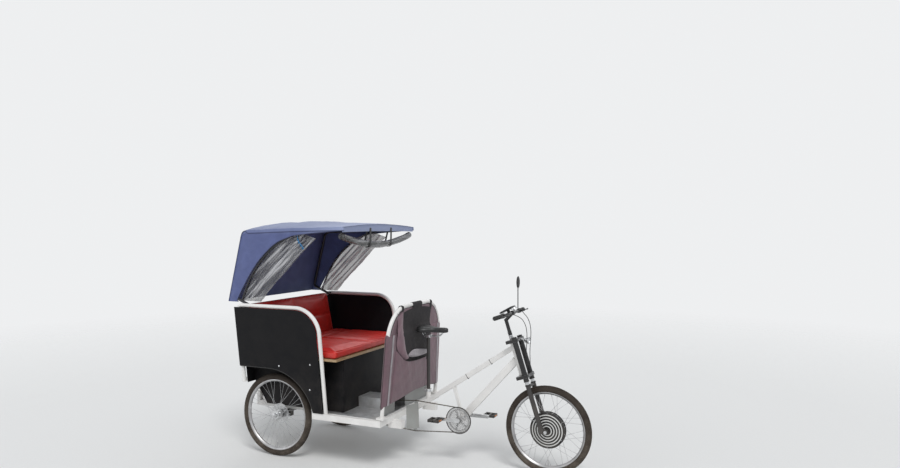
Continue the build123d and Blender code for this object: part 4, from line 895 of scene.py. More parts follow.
class RICKSHAW_OT_stage(RickshawOperator):
    """Add the pale floor, the soft lights, the plain background and the camera"""

    bl_idname = "rickshaw.stage"
    bl_label = "Stage"

    def execute(self, context):
        clear_selection()
        bpy.ops.mesh.primitive_circle_add(vertices=128, radius=FLOOR_FADE[1], fill_type="NGON")
        floor = settle("stage_floor")
        tree, shader = new_finish("stage_floor", Roughness=0.9)
        where = here(tree)
        speckle = noise(tree, where, 60.0, 3.0)
        grey = mix(tree, speckle, (0.74, 0.74, 0.73, 1), (0.79, 0.79, 0.78, 1))
        tree.links.new(grey, shader["Base Color"])
        reach = node(tree, "VectorMath", {0: where}, operation="LENGTH").outputs["Value"]
        tree.links.new(remap(tree, reach, *FLOOR_FADE, 1.0, 0.0), shader["Alpha"])
        floor.data.materials.append(bpy.data.materials["stage_floor"])

        world = bpy.data.worlds.new("stage_sky")
        context.scene.world = world
        world.use_nodes = True
        sky = world.node_tree
        background = sky.nodes["Background"]
        rays = node(sky, "LightPath").outputs
        clear = maths(sky, "MAXIMUM", rays["Is Camera Ray"], rays["Is Transmission Ray"])
        seen = maths(sky, "MAXIMUM", clear, maths(sky, "MULTIPLY", rays["Is Glossy Ray"], 0.6))
        sky.links.new(mix(sky, seen, (0.86, 0.89, 0.93, 1), (0.90, 0.91, 0.92, 1)),
                      background.inputs["Color"])
        sky.links.new(remap(sky, seen, 0.0, 1.0, 0.55, 0.95), background.inputs["Strength"])

        for name, heading, strength, angle in (
            ("stage_sun", (-0.42, 0.55, -0.90), 1.5, 22), ("stage_fill_sun", (0.80, 0.60, -0.30), 0.5, 60),
            ("stage_back_sun", (0.20, -0.90, -0.55), 0.4, 60),
        ):
            clear_selection()
            bpy.ops.object.light_add(type="SUN", location=(0, 0, 4))
            lamp = context.active_object
            lamp.name = name
            lamp.data.energy = strength
            lamp.data.angle = radians(angle)
            lamp.rotation_euler = Vector(heading).to_track_quat("-Z", "Y").to_euler()

        clear_selection()
        bpy.ops.object.camera_add(location=place(*CAMERA_PLACE))
        camera = context.active_object
        camera.name = "photo_camera"
        camera.rotation_euler = Euler((radians(90 - CAMERA_PITCH), 0, radians(CAMERA_TURN)))
        camera.data.sensor_width = CAMERA_SENSOR
        camera.data.lens = CAMERA_LENS
        camera.data.clip_end = 200
        context.scene.camera = camera
        context.scene.view_settings.view_transform = "Standard"
        return {"FINISHED"}


class RICKSHAW_OT_finishes(RickshawOperator):
    """Build the materials and give each piece of the frame its own"""

    bl_idname = "rickshaw.finishes"
    bl_label = "Finishes"

    def execute(self, context):
        make_finishes()
        for row in frame["record"]["subparts"]:
            mesh = frame["nodes"][row["node"]].data
            mesh.materials.clear()
            mesh.materials.append(bpy.data.materials[row["material_slot"]])
        return {"FINISHED"}


class RICKSHAW_OT_tyres(RickshawOperator):
    """Model the three tyres with their tread blocks"""

    bl_idname = "rickshaw.tyres"
    bl_label = "Tyres"

    def execute(self, context):
        depth = sizes().tread_depth
        body_r = TYRE_W / 2
        ring_r = TYRE_R - body_r - depth
        for name, centre, body in WHEELS:
            clear_selection()
            bpy.ops.mesh.primitive_torus_add(
                major_segments=TYRE_STEPS, minor_segments=TYRE_SECTION_STEPS, major_radius=ring_r,
                minor_radius=body_r, location=centre, rotation=CROSSWAYS,
            )
            tyre = settle(f"tyre_{name}")

            def tread(face):
                """Every second face of the crown, in a chequer."""
                arm = face.center - centre
                radius = math.hypot(arm.x, arm.z)
                if radius < ring_r + body_r * 0.66:
                    return False
                step = int((math.atan2(arm.z, arm.x) % (2 * pi)) / (2 * pi / TYRE_STEPS))
                row = round(math.atan2(arm.y, radius - ring_r) / (2 * pi / TYRE_SECTION_STEPS) - 0.5)
                return (step + row) % 2 == 0

            edit_faces(tyre, tread, lambda: bpy.ops.mesh.inset(thickness=0.0007, depth=depth, use_individual=True))
            dress(tyre, f"tyre_with_tread_{name}", "tyre_rubber", body, replaced=[f"tyre_{name}"], smooth=40)
        return {"FINISHED"}


class RICKSHAW_OT_wheels(RickshawOperator):
    """Model rims, crossed spokes with nipples, rear hubs and valves"""

    bl_idname = "rickshaw.wheels"
    bl_label = "Wheels"

    def execute(self, context):
        half = RIM_HALF_W
        rim_profile = (
            (RIM_R, half), (0.2788, half + 0.0006), (0.2695, 0.0095), (RIM_FLOOR_R, 0.004), (RIM_FLOOR_R, -0.004),
            (0.2695, -0.0095), (0.2788, -half - 0.0006), (RIM_R, -half), (RIM_R, -half + 0.0022),
            (0.2815, -0.0118), (0.2815, 0.0118), (RIM_R, half - 0.0022),
        )
        hub_profile = (
            (0.0125, -0.030), (0.018, -0.030), (0.020, -0.0285), (0.020, -0.0282), (0.033, -0.0280), (0.034, -0.0272),
            (0.034, -0.0248), (0.033, -0.024), (0.021, -0.0225), (0.017, -0.016), (0.017, 0.016), (0.021, 0.0225),
            (0.033, 0.024), (0.034, 0.0248), (0.034, 0.0272), (0.033, 0.0280), (0.0205, 0.0285), (0.0200, 0.038),
            (0.0175, 0.0435), (0.012, 0.046), (0.004, 0.0465), (0.004, 0.040), (0.0125, 0.038),
        )
        for name, centre, body in WHEELS:
            front = name == "front"
            rim = lathe(f"rim_{name}", centre, rim_profile, 120)
            flange_r, flange_y, lead = (0.130, 0.020, 20) if front else (0.030, 0.026, 60)
            spokes, nipples = [], []
            for flange in (-1, 1):
                for k in range(SPOKES_A_SIDE):
                    cross = 1 if k % 2 else -1
                    start_angle = radians((k + flange / 4) * 360 / SPOKES_A_SIDE)
                    end_angle = start_angle + radians(lead * cross)
                    start = Vector((flange_r * cos(start_angle), flange * flange_y + 0.0018 * cross,
                                    flange_r * sin(start_angle)))
                    end = Vector((SPOKE_END_R * cos(end_angle), flange * 0.0035, SPOKE_END_R * sin(end_angle)))
                    line = end - start
                    middle = Matrix.Translation(centre + (start + end) / 2) @ along(line)
                    spokes.append(middle @ Matrix.Diagonal((1, 1, line.length, 1)))
                    inner = end - line.normalized() * 0.006
                    nipples.append(Matrix.Translation(centre + inner) @ along(line))
            wires = copies(cylinder(8, sizes().spoke_radius, 1), spokes, "spokes")
            ends = copies(cylinder(6, 0.0021, 0.012), nipples, "nipples")
            valve = rod("valve", centre - Vector((0, 0, RIM_FLOOR_R)), centre - Vector((0, 0, 0.226)), 0.0028, 10)
            dress(join([rim, wires, ends, valve], "rim"), f"spoked_wheel_{name}", "rim_alloy", body,
                  replaced=[f"spoked_rim_{name}"], smooth=30)
            if front:
                continue
            outer = -1 if centre.y < 0 else 1
            hub = lathe("hub", centre, hub_profile, 48, (0, outer, 0))
            cylinder(6, 0.0095, 0.008, centre + Vector((0, outer * 0.046, 0)), CROSSWAYS)
            nut = modify(settle("nut"), "BEVEL", width=0.0008, segments=2, limit_method="ANGLE")
            dress(join([hub, nut], "hub"), f"rear_hub_{name[5:]}", "polished_alloy", body, smooth=30)
        return {"FINISHED"}


class RICKSHAW_OT_hub_motor(RickshawOperator):
    """Model the front wheel's hub motor with its stepped covers and screws"""

    bl_idname = "rickshaw.hub_motor"
    bl_label = "Hub motor"

    def execute(self, context):
        half = [
            (0.0075, 0.0345), (0.020, 0.0345), (0.022, 0.0335), (0.045, 0.0332), (0.048, 0.0325), (0.1195, 0.0252),
            (0.1215, 0.0240), (0.1250, 0.0228), (0.1268, 0.0215), (0.1335, 0.0215), (0.1340, 0.0205), (0.1340, 0.0175),
            (0.1330, 0.0168), (0.1290, 0.0160),
        ]
        profile = half + [(radius, -across) for radius, across in reversed(half)]
        dress(lathe("drum", FRONT_HUB, profile, 128), "hub_motor_covers", "motor_paint", "front_wheel",
              replaced=["hub_motor"], smooth=25)
        screws, rings = [], []
        for side in (-1, 1):
            screws += facing_ring(FRONT_HUB + Vector((0, side * 0.0243, 0)), 0.1235, 6, 30, side)
            for radius in MOTOR_RINGS:
                across = 0.0332 if radius < 0.045 else 0.0325 - 0.102 * (radius - 0.048)
                ring_profile = (
                    (radius - 0.0044, -0.001), (radius - 0.0038, 0.0008), (radius - 0.0026, 0.0013),
                    (radius + 0.0026, 0.0010), (radius + 0.0038, 0.0004), (radius + 0.0044, -0.0015),
                )
                rings.append(lathe("ring", FRONT_HUB + Vector((0, side * across, 0)), ring_profile, 96, (0, side, 0)))
        bolt_heads("hub_motor_screws", screws, "front_wheel", 12, 0.0032, 0.002, steps=2, smooth=35)
        dress(join(rings, "rings"), "hub_motor_rings", "motor_ring_paint", "front_wheel",
              smooth=40)
        return {"FINISHED"}


def roof_height(ahead, left):
    """The height of the hood's roof at a place, with the cloth sagging between its bars."""
    edge = between(HOOD_SECTIONS, ahead, 1)
    crown = between(HOOD_SECTIONS, ahead, 2)
    share = min(1, abs(left) / HOOD_HALF_W)
    sag = 0.0
    for start, end in zip(HOOD_BARS, HOOD_BARS[1:]):
        if start < ahead < end:
            sag = sizes().roof_sag * sin(pi * (ahead - start) / (end - start)) ** 2 * cos(share * pi / 2) ** 0.5
    return crown - (crown - edge) * share**2 - sag


def hood_path(left, share):
    """The hood's line from the foot of its rear wall over the rear corner to its front, at a place across."""
    foot_x, foot_z = HOOD_FOOT
    lean = (HOOD_CORNER[0] - foot_x) / (HOOD_CORNER[1] - foot_z)
    corner_z = roof_height(HOOD_CORNER[0], left)
    corner_x = HOOD_CORNER[0] + (corner_z - HOOD_CORNER[1]) * lean
    wall = math.hypot(corner_x - foot_x, corner_z - foot_z)
    run = share * (wall + HOOD_FRONT - corner_x)
    if run < wall - HOOD_BEND:
        part = run / wall
        return foot_x + (corner_x - foot_x) * part, foot_z + (corner_z - foot_z) * part
    if run > wall + HOOD_BEND:
        ahead = corner_x + run - wall
        return ahead, roof_height(ahead, left)
    part = (run - wall + HOOD_BEND) / (2 * HOOD_BEND)
    start = (corner_x - (corner_x - foot_x) * HOOD_BEND / wall, corner_z - (corner_z - foot_z) * HOOD_BEND / wall)
    end = (corner_x + HOOD_BEND, roof_height(corner_x + HOOD_BEND, left))
    return tuple((1 - part) ** 2 * a + 2 * part * (1 - part) * b + part**2 * c
                 for a, b, c in zip(start, (corner_x, corner_z), end))


def arc_line(points, share):
    """A smooth line through the neighbourhood of its points at a share of its length."""
    last = len(points) - 1
    spot = min(share * last, last - 1e-9)
    i = int(spot)
    part = spot - i
    rows = [points[max(0, min(last, i + step))] for step in (-1, 0, 1, 2)]
    found = []
    for a, b, c, d in zip(*rows):
        found.append(0.5 * (2 * b + (c - a) * part + (2 * a - 5 * b + 4 * c - d) * part**2
                            + (3 * b - a - 3 * c + d) * part**3))
    return tuple(found)


def between_lines(first, second, share, part):
    """A point a share of the way along two lines, and part of the way from the first line to the second."""
    return [a + (b - a) * part for a, b in zip(arc_line(first, share), arc_line(second, share))]


class RICKSHAW_OT_hood(RickshawOperator):
    """Model the cloth hood: roof and rear wall in one sheet, two side wings, a front valance and piping"""

    bl_idname = "rickshaw.hood"
    bl_label = "Hood"

    def execute(self, context):
        flat = 0.955

        def roof(u, v):
            """The roof and rear wall, folded down a little over the side rails."""
            across = (v - 0.5) * 2
            if abs(across) <= flat:
                left = across / flat * (HOOD_HALF_W - 0.004)
                fold = 0
            else:
                left = math.copysign(HOOD_HALF_W - 0.004, across)
                fold = (abs(across) - flat) / (1 - flat)
            x, z = hood_path(left, u)
            wall = x < HOOD_CORNER[0] - 0.01
            pull = 0.0018 * ripple(9 * x, 7 * left, 1.3) + 0.0012 * ripple(24 * x, 5 * left, 4.0)
            out = math.copysign(0.004 * min(1, fold * 3), across) if fold else 0
            if wall:
                return place(x + pull + 0.01 * fold, left + out, z)
            return place(x, left + out, z - HOOD_DROP * fold + pull * (1 - fold))

        sheet = sheet_grid("roof", 96, 72, roof)
        modify(sheet, "SOLIDIFY", thickness=0.0022, offset=-1.0)
        dress(sheet, "hood_roof", "hood_cloth", replaced=["hood_canopy"], smooth=60)

        for side, name in SIDES:
            def wing(u, v, side=side):
                """A side wing, from the hood's outline to the edge of the side opening."""
                x, z = hood_path(HOOD_HALF_W, u)
                inner_x, inner_z = arc_line(OPENING, u)
                x += (inner_x - x) * v
                z += (inner_z - z) * v
                belly = sin(pi * v) * (0.004 + 0.003 * ripple(11 * x, 9 * z, side))
                return place(x, side * (HOOD_HALF_W - 0.003 + belly * (1 - u)), z - 0.002)

            piece = thicken(sheet_grid("wing", 90, 14, wing), 0.002)
            dress(piece, f"hood_wing_{name}", "hood_cloth", smooth=60)

        def valance(u, v):
            """The band that hangs from the roof's front edge."""
            left = (u - 0.5) * 2 * (HOOD_HALF_W - 0.002)
            top = roof_height(HOOD_FRONT, left) - 0.001
            deep = 0.056 - 0.018 * (left / HOOD_HALF_W) ** 2
            wave = 0.0022 * sin(26 * left + 1.0) * v
            return place(HOOD_FRONT - 0.004 - abs(wave) - 0.006 * v, left, top - deep * v)

        band = sheet_grid("valance", 80, 8, valance)
        modify(band, "SOLIDIFY", thickness=0.002, offset=0.0)
        dress(band, "hood_valance", "hood_cloth", smooth=60)

        radius = sizes().piping_radius
        outline = [hood_path(HOOD_HALF_W, k / 60) for k in range(61)]
        beads = []
        for side in (-1, 1):
            edge = side * (HOOD_HALF_W + 0.0005)
            fold = [place(x, edge, z - HOOD_DROP if k > 24 else z) for k, (x, z) in enumerate(outline)]
            opening = [arc_line(OPENING, k / 48) for k in range(49)]
            beads.append(tube("bead", fold, radius * 0.7))
            beads.append(tube("bead", [place(x, side * (HOOD_HALF_W - 0.003), z) for x, z in opening], radius))
        front = []
        for k in range(31):
            across = (k / 30 - 0.5) * 2
            front.append(place(HOOD_FRONT - 0.0045, across * (HOOD_HALF_W - 0.002),
                               roof_height(HOOD_FRONT, across * HOOD_HALF_W) - 0.001))
        beads.append(tube("bead", front, radius * 0.8))
        dress(join(beads, "piping"), "hood_piping", "hood_piping_cloth", smooth=60)
        return {"FINISHED"}


class RICKSHAW_OT_curtains(RickshawOperator):
    """Model the gathered clear side curtains"""

    bl_idname = "rickshaw.curtains"
    bl_label = "Side curtains"

    def execute(self, context):
        depth = sizes().curtain_fold
        for side, name in SIDES:
            def folds(u, v, side=side):
                """Gathers that run from the hood's foot up to the front of the opening."""
                x, z = between_lines(CURTAIN_BACK, CURTAIN_FRONT, u, v)
                wave = sin(2 * pi * (5.2 * v + 0.25 * sin(3 * u + side))) + 0.45 * sin(2 * pi * (11.3 * v + 0.6 * u))
                slack = depth * (0.55 + 0.45 * sin(pi * u)) * wave / 1.3
                return place(x + 0.004 * ripple(14 * u, 6 * v), side * (CURTAIN_Y + slack * 0.9), z)

            sheet = sheet_grid("curtain", 70, 84, folds)
            modify(sheet, "SOLIDIFY", thickness=0.0012, offset=0.0)
            replaced = ["side_curtains"] if side < 0 else []
            dress(sheet, f"clear_curtain_{name}", "clear_pvc", replaced=replaced, smooth=70)
        return {"FINISHED"}


def roll_height(left):
    """The height of the rolled curtain's middle line at a place across."""
    return ROLL_MID_Z + (ROLL_ENDS_Z - ROLL_MID_Z) * (left / ROLL_HALF_W) ** 2


class RICKSHAW_OT_rolled_curtain(RickshawOperator):
    """Model the rolled clear front curtain, and the two webbing loops that carry it"""

    bl_idname = "rickshaw.rolled_curtain"
    bl_label = "Rolled curtain"

    def execute(self, context):
        def roll(u, v):
            """A loosely wound tube, thicker between its straps and pinched under them."""
            left = (u - 0.5) * 2 * ROLL_HALF_W
            angle = 2 * pi * v
            pinch = sum(math.exp(-((left - strap) / 0.035) ** 2) for strap in STRAPS_Y)
            radius = ROLL_R * (0.94 - 0.13 * pinch) + 0.0016 * sin(3 * angle + 9 * left)
            radius += 0.001 * sin(7 * angle - 31 * left) + 0.0009 * ripple(40 * left, 3 * angle)
            return place(ROLL_X + radius * cos(angle), left, roll_height(left) + radius * sin(angle))

        skin = sheet_grid("roll", 110, 40, roll)
        outward(skin)
        layers = []
        for side in (-1, 1):
            for turn in range(3):
                radius = ROLL_R * (0.78 - 0.24 * turn)
                left = side * (ROLL_HALF_W - 0.003 - 0.002 * turn)
                middle = place(ROLL_X, left, roll_height(left))
                layers.append(flat_ring("layer", middle, radius - 0.003, radius, 0.02, 28))
        dress(join([skin, *layers], "roll"), "clear_curtain_roll", "clear_pvc_rolled",
              replaced=["front_curtain"], smooth=60)

        loops = []
        for left in STRAPS_Y:
            middle = place(ROLL_X, left, roll_height(left))
            top = place(HOOD_FRONT - 0.019, left, 1.842)
            points = [top + Vector((-0.012, 0, -0.004))]
            for k in range(13):
                angle = radians(-200 + 220 * k / 12)
                points.append(middle + Vector((cos(angle), 0, sin(angle))) * (ROLL_R + 0.0014))
            points += [top + Vector((0.012, 0, -0.004)), top + Vector((0, 0, 0.0125))]
            ring = [(point.x, point.z) for point in points]

            def ribbon(u, v, ring=ring, left=left):
                """A flat strap round the roll and over the front cross bar."""
                x, z = arc_line(ring + [ring[0]], u)
                return Vector((x, left + (v - 0.5) * 0.026, z))

            loops.append(sheet_grid("strap", 64, 4, ribbon))
        dress(thicken(join(loops, "straps"), 0.0018), "curtain_strap_loops", "webbing",
              replaced=["curtain_straps"], smooth=50)
        return {"FINISHED"}


def cushion(name, centre, size, turn, seams):
    """A stuffed cushion: a rounded block, blown up as cloth that is held at its back, edges and seams.
    Each seam is given as its axis and its place on it.
    """
    piece = block(name, (0, 0, 0), size, bevel=0.016, segments=4)
    modify(piece, "REMESH", mode="VOXEL", voxel_size=0.011)
    rest = [vertex.co.copy() for vertex in piece.data.vertices]
    half = Vector(size) / 2
    held = piece.vertex_groups.new(name="held")
    for vertex in piece.data.vertices:
        rim = min(half.y - abs(vertex.co.y), half.x - abs(vertex.co.x))
        on_seam = any(abs(vertex.co[axis] - where) < 0.009 for axis, where in seams) and vertex.co.z > 0
        if vertex.co.z < 0 or rim < 0.004 or on_seam:
            held.add([vertex.index], 1.0, "REPLACE")
    pick(piece)
    cloth_modifier = piece.modifiers.new("cloth", "CLOTH")
    settings = cloth_modifier.settings
    settings.quality = 5
    settings.use_pressure = True
    settings.uniform_pressure_force = sizes().cushion_pressure
    settings.vertex_group_mass = "held"
    settings.effector_weights.gravity = 0
    cloth_modifier.collision_settings.use_collision = False
    cloth_modifier.point_cache.frame_end = PUFF_FRAMES
    for step in range(1, PUFF_FRAMES + 1):
        bpy.context.scene.frame_set(step)
    bpy.ops.object.modifier_apply(modifier="cloth")
    for vertex, start in zip(piece.data.vertices, rest):
        moved = vertex.co - start
        if moved.length > PUFF:
            vertex.co = start + moved.normalized() * PUFF
    for vertex, start in zip(piece.data.vertices, rest):
        if vertex.co.z > 0 and half.z - start.z < 0.02:
            vertex.co.z += 0.0012 * ripple(13 * start.x, 11 * start.y)
            for axis, where in seams:
                vertex.co.z -= 0.007 * math.exp(-(((start[axis] - where) / 0.010) ** 2))
    modify(piece, "SUBSURF", levels=1, render_levels=1)
    ring = []
    for k in range(96):
        angle = 2 * pi * k / 96
        x, y = cos(angle), sin(angle)
        ring.append((math.copysign(abs(x) ** 0.15, x) * (half.x - 0.009),
                     math.copysign(abs(y) ** 0.08, y) * (half.y - 0.009), half.z - 0.006))
    cord = tube("cord", ring, 0.0032, closed=True)
    move = Matrix.Translation(centre) @ turn.to_4x4()
    piece.data.transform(move)
    cord.data.transform(move)
    return piece, cord


class RICKSHAW_OT_cushions(RickshawOperator):
    """Model the stuffed seat and backrest with their seams and piping"""

    bl_idname = "rickshaw.cushions"
    bl_label = "Cushions"

    def execute(self, context):
        low, high = box_of("seat_cushion")
        size = high - low
        middle = (low + high) / 2
        seat, seat_cord = cushion("seat", middle - Vector((0, 0, 0.005)), (size.x - 0.004, size.y - 0.004, 0.062),
                                  Matrix.Identity(3), ((1, 0.0), (0, -0.17)))
        low, high = box_of("backrest_cushion")
        middle = (low + high) / 2
        turn = Matrix.Rotation(radians(-12), 3, "Y") @ Matrix.Rotation(pi / 2, 3, "Y")
        back, back_cord = cushion("back", middle - Vector((0.005, 0, 0)), (0.396, size.y - 0.004, 0.05), turn,
                                  ((1, 0.0), (0, 0.0)))
        dress(seat, "seat_cushion_stuffed", "red_vinyl", replaced=["seat_cushion"], smooth=60)
        dress(back, "backrest_stuffed", "red_vinyl", replaced=["backrest_cushion"], smooth=60)
        dress(join([seat_cord, back_cord], "cords"), "cushion_piping", "red_vinyl", smooth=60)
        return {"FINISHED"}


def cover_place(left, up, out):
    """A point on the front hoop's leaning plane, this far ahead of it."""
    return place(HOOP_FOOT[0] + (up - HOOP_FOOT[1]) * HOOP_LEAN + out, left, up - HOOP_LEAN * out)


def cover_half(up):
    """Half the front cover's width at a height."""
    return COVER_HALF_W - COVER_TAPER * (up - COVER_LOW) / COVER_RISE


def cover_foot(across):
    """The height of the front cover's arched foot, from -1 to 1 across."""
    return COVER_LOW + 0.002 + 0.045 * (1 - across**2)


def cover_face(left, up):
    """How far the front cover's front skin stands ahead of the hoop's plane."""
    share = (up - COVER_LOW) / COVER_RISE
    belly = 0.004 * sin(pi * min(1, max(0, share))) * cos(left * 3)
    return 0.0225 + belly + 0.0016 * ripple(12 * left, 10 * up, 2.0)


# The front hoop's bends: left of the middle, height, radius
COVER_HOOP = (0.18, 0.9545, 0.27)
# Outlines on the front cover: left of the middle, height
FLAP_OUTER = ((-0.330, 1.150), (-0.342, 1.018), (-0.336, 0.902), (-0.225, 0.808))
FLAP_INNER = ((-0.240, 1.190), (-0.240, 1.004), (-0.212, 0.898), (-0.150, 0.826))
POCKET_TOP = ((-0.352, 0.900), (-0.225, 0.806), (-0.060, 0.780), (0.175, 0.772))
POCKET_FOOT = ((-0.392, 0.498), (-0.20, 0.508), (0.0, 0.522), (0.190, 0.516))
MOUTH_TOP = ((-0.26, 1.172), (-0.10, 1.196), (0.08, 1.196), (0.25, 1.172))
MOUTH_FOOT = ((-0.30, 0.76), (-0.10, 0.74), (0.08, 0.74), (0.22, 0.75))
FOLD_TOP = ((-0.165, 0.838), (-0.08, 0.868), (0.04, 0.856), (0.162, 0.834))
FOLD_FOOT = ((-0.155, 0.826), (-0.08, 0.808), (0.04, 0.800), (0.165, 0.800))


def hoop_height(left, radius):
    """The height of a line this far from the centre of the front hoop's bend, at a place across."""
    return COVER_HOOP[1] + math.sqrt(max(0.0, radius**2 - max(0.0, abs(left) - COVER_HOOP[0]) ** 2))


class RICKSHAW_OT_front_cover(RickshawOperator):
    """Model the cloth bag on the front hoop with its mouth, flap, webbing, seams and ties"""

    bl_idname = "rickshaw.front_cover"
    bl_label = "Front cover"

    def execute(self, context):
        def shell(u, v):
            """The cover as a closed bag: up the front, over the top and down the back."""
            across = 2 * u - 1
            side = 1 if v < 0.5 else -1
            share = 2 * v if v < 0.5 else 2 - 2 * v
            low = cover_foot(across)
            up = low + (1.03 - low) * share - 0.006 * share * (1 - across**2)
            left = across * cover_half(up)
            round_off = max(0.0, 1 - abs(across) ** 18) ** 0.5 * max(0.0, 1 - abs(2 * share - 1) ** 26) ** 0.5
            pull = 0.003 * ripple(16 * left, 9 * up) * math.exp(-((share - 0.9) / 0.2) ** 2)
            return cover_place(left, up, side * (cover_face(left, up) + pull) * round_off)

        skin = sheet_grid("cover", 120, 140, shell)
        outward(skin)
        dress(skin, "front_cover_cloth", "cover_cloth", replaced=["front_cover"], smooth=60)

        def dome(u, v):
            """The cover's upper part, up to the hoop's inner edge."""
            left = (2 * u - 1) * 0.4255
            top = hoop_height(left, 0.2535)
            up = 1.018 + (max(top, 1.020) - 1.018) * v
            drawn = 0.004 * ripple(19 * left, 6 * up, 3.0) * sin(pi * v)
            return cover_place(left, up, 0.011 + drawn)

        def pocket(u, v):
            """The front of the bag, which hangs open along its slanted top."""
            left, up = between_lines(POCKET_FOOT, POCKET_TOP, u, v)
            stand = 0.024 * sin(pi * u) ** 0.4 * v**0.6
            crease = 0.0030 * ripple(17 * left, 8 * up, 1.0) * v * sin(pi * u)
            return cover_place(left, up, cover_face(left, up) + 0.0015 + stand + crease)

        def flap(u, v):
            """The edge of the bag's mouth, folded outwards down to a corner."""
            left, up = between_lines(FLAP_OUTER, FLAP_INNER, v, u)
            rise = (0.010 + 0.016 * sin(pi * u) * (0.3 + v) + 0.004 * sin(9 * v + 3 * u)) * min(1, 0.25 + 4 * v)
            base = 0.012 + (cover_face(left, up) - 0.012) / (1 + math.exp((up - 1.04) * 90))
            return cover_place(left, up, base + rise)

        def mouth(u, v):
            """The dark lining seen through the bag's mouth."""
            # """A dark sheet in the bag's mouth: painted shade inside the bag."""
            left, up = between_lines(MOUTH_FOOT, MOUTH_TOP, u, v)
            sink = 1 / (1 + math.exp((up - 1.03) * 160))
            base = 0.0165 + (0.0175 + 0.0016 * ripple(12 * left, 10 * up, 2.0)) * sink
            return cover_place(left, up, base + 0.0022 * ripple(15 * left, 18 * up, 5.0) ** 2)

        def fold(u, v):
            """The paler cloth that lies folded in the mouth."""
            foot, top = arc_line(FOLD_FOOT, u), arc_line(FOLD_TOP, u)
            angle = 2 * pi * v
            up = (foot[1] + top[1]) / 2 + (top[1] - foot[1]) / 2 * sin(angle)
            left = (foot[0] + top[0]) / 2
            thick = 0.013 * sin(pi * min(1.0, max(0.0, u))) ** 0.4 * (1 + 0.3 * sin(3 * angle + 9 * u))
            return cover_place(left, up, cover_face(left, up) + 0.016 + thick * cos(angle))

        for name, surface, flat, area, finish, thickness, grid in (
            ("front_cover_dome", dome, (0.89, 0.19), 0.13, "cover_cloth", 0.0025, (72, 20)),
            ("front_cover_pocket", pocket, (0.58, 0.30), None, "cover_cloth", 0.0025, (48, 34)),
            # The flap's paler cloth is a painted highlight
            ("front_cover_flap", flap, (0.13, 0.36), None, "cover_flap_cloth", 0.0025, (10, 40)),
            # The dark sheet in the mouth is painted shade inside the bag
            ("front_cover_lining", mouth, (0.50, 0.45), None, "cover_black_cloth", 0.001, (40, 40)),
        ):
            piece = thicken(sheet_grid(name, *grid, surface), thickness)
            dress(piece, name, finish, smooth=60)
        bundle = sheet_grid("fold", 40, 28, fold)
        outward(bundle)
        dress(bundle, "folded_cloth", "webbing_grey_cloth", smooth=60)

        strips = []
        for side in (-1, 1):
            def strip(u, v, side=side):
                """A strip of webbing down the cover, leaning outwards."""
                up = 1.022 - 0.53 * u
                left = side * (0.393 + 0.037 * u + 0.024 * (v - 0.5))
                return cover_place(left, up, cover_face(left, up) + 0.0022)

            strips.append(sheet_grid("strip", 50, 3, strip))
        dress(thicken(join(strips, "strips"), 0.0016), "cover_webbing_strips", "webbing_grey_cloth",
              smooth=50)

        heights = [0.478 + 0.545 * k / 23 for k in range(24)]
        beads = [tube("bead", points, radius) for points, radius in (
            ([cover_place(-cover_half(up), up, 0) for up in heights], 0.0022),
            ([cover_place(cover_half(up), up, 0) for up in heights], 0.0022),
            ([cover_place(COVER_HALF_W * (k / 15 - 1), cover_foot(k / 15 - 1), 0) for k in range(31)], 0.0022),
            ([pocket(k / 24, 1) for k in range(25)], 0.0026),
            ([pocket(1, k / 20) for k in range(21)], 0.0026),
            ([pocket(0.16, k / 20) for k in range(20)], 0.0012),
            ([dome(k / 60, 1) for k in range(61)], 0.0026),
        )]
        dress(join(beads, "beads"), "front_cover_piping", "cover_black_cloth", smooth=60)

        loops = []
        for left, width in ((-0.25, 0.034), (0.0, 0.16), (0.25, 0.034)):
            centre = hoop_height(left, COVER_HOOP[2])
            ring = [(0.0125, centre - 0.062), (0.0168, centre - 0.012)]
            ring += [(0.0170 * cos(radians(30 * k)), centre + 0.0170 * sin(radians(30 * k))) for k in range(7)]
            ring += [(-0.0168, centre - 0.012), (0.0072, centre - 0.060)]

            def loop(u, v, left=left, width=width, ring=ring):
                """A strap from the cover up and round the hoop's tube."""
                out, up = arc_line(ring, u)
                return cover_place(left + width * (v - 0.5), up, out)

            loops.append(sheet_grid("loop", 48, 3, loop))
        dress(thicken(join(loops, "straps"), 0.0014), "front_cover_loops", "cover_black_cloth",
              smooth=50)

        tie_left = 0.335
        centre = hoop_height(tie_left, COVER_HOOP[2])
        knot = ((0, 0.019), (0.018, 0.004), (0.017, -0.030), (0.011, -0.056), (0.007, -0.056), (-0.013, -0.030),
                (-0.018, 0.004))
        ties = []
        for side in (-1, 1):
            line = [cover_place(side * (tie_left + 0.1 * up), centre + up, out) for out, up in knot]
            ties.append(tube("tie", line, 0.0018, closed=True))
        dress(join(ties, "ties"), "front_cover_ties", "webbing_grey_cloth", smooth=60)
        return {"FINISHED"}


def panel_face(ahead, up, side, out=0.0):
    """A point on the outer face of a side panel."""
    return place(ahead, side * (PANEL_FOOT[0] + (up - PANEL_FOOT[1]) * PANEL_LEAN + PANEL_OUT + out), up)


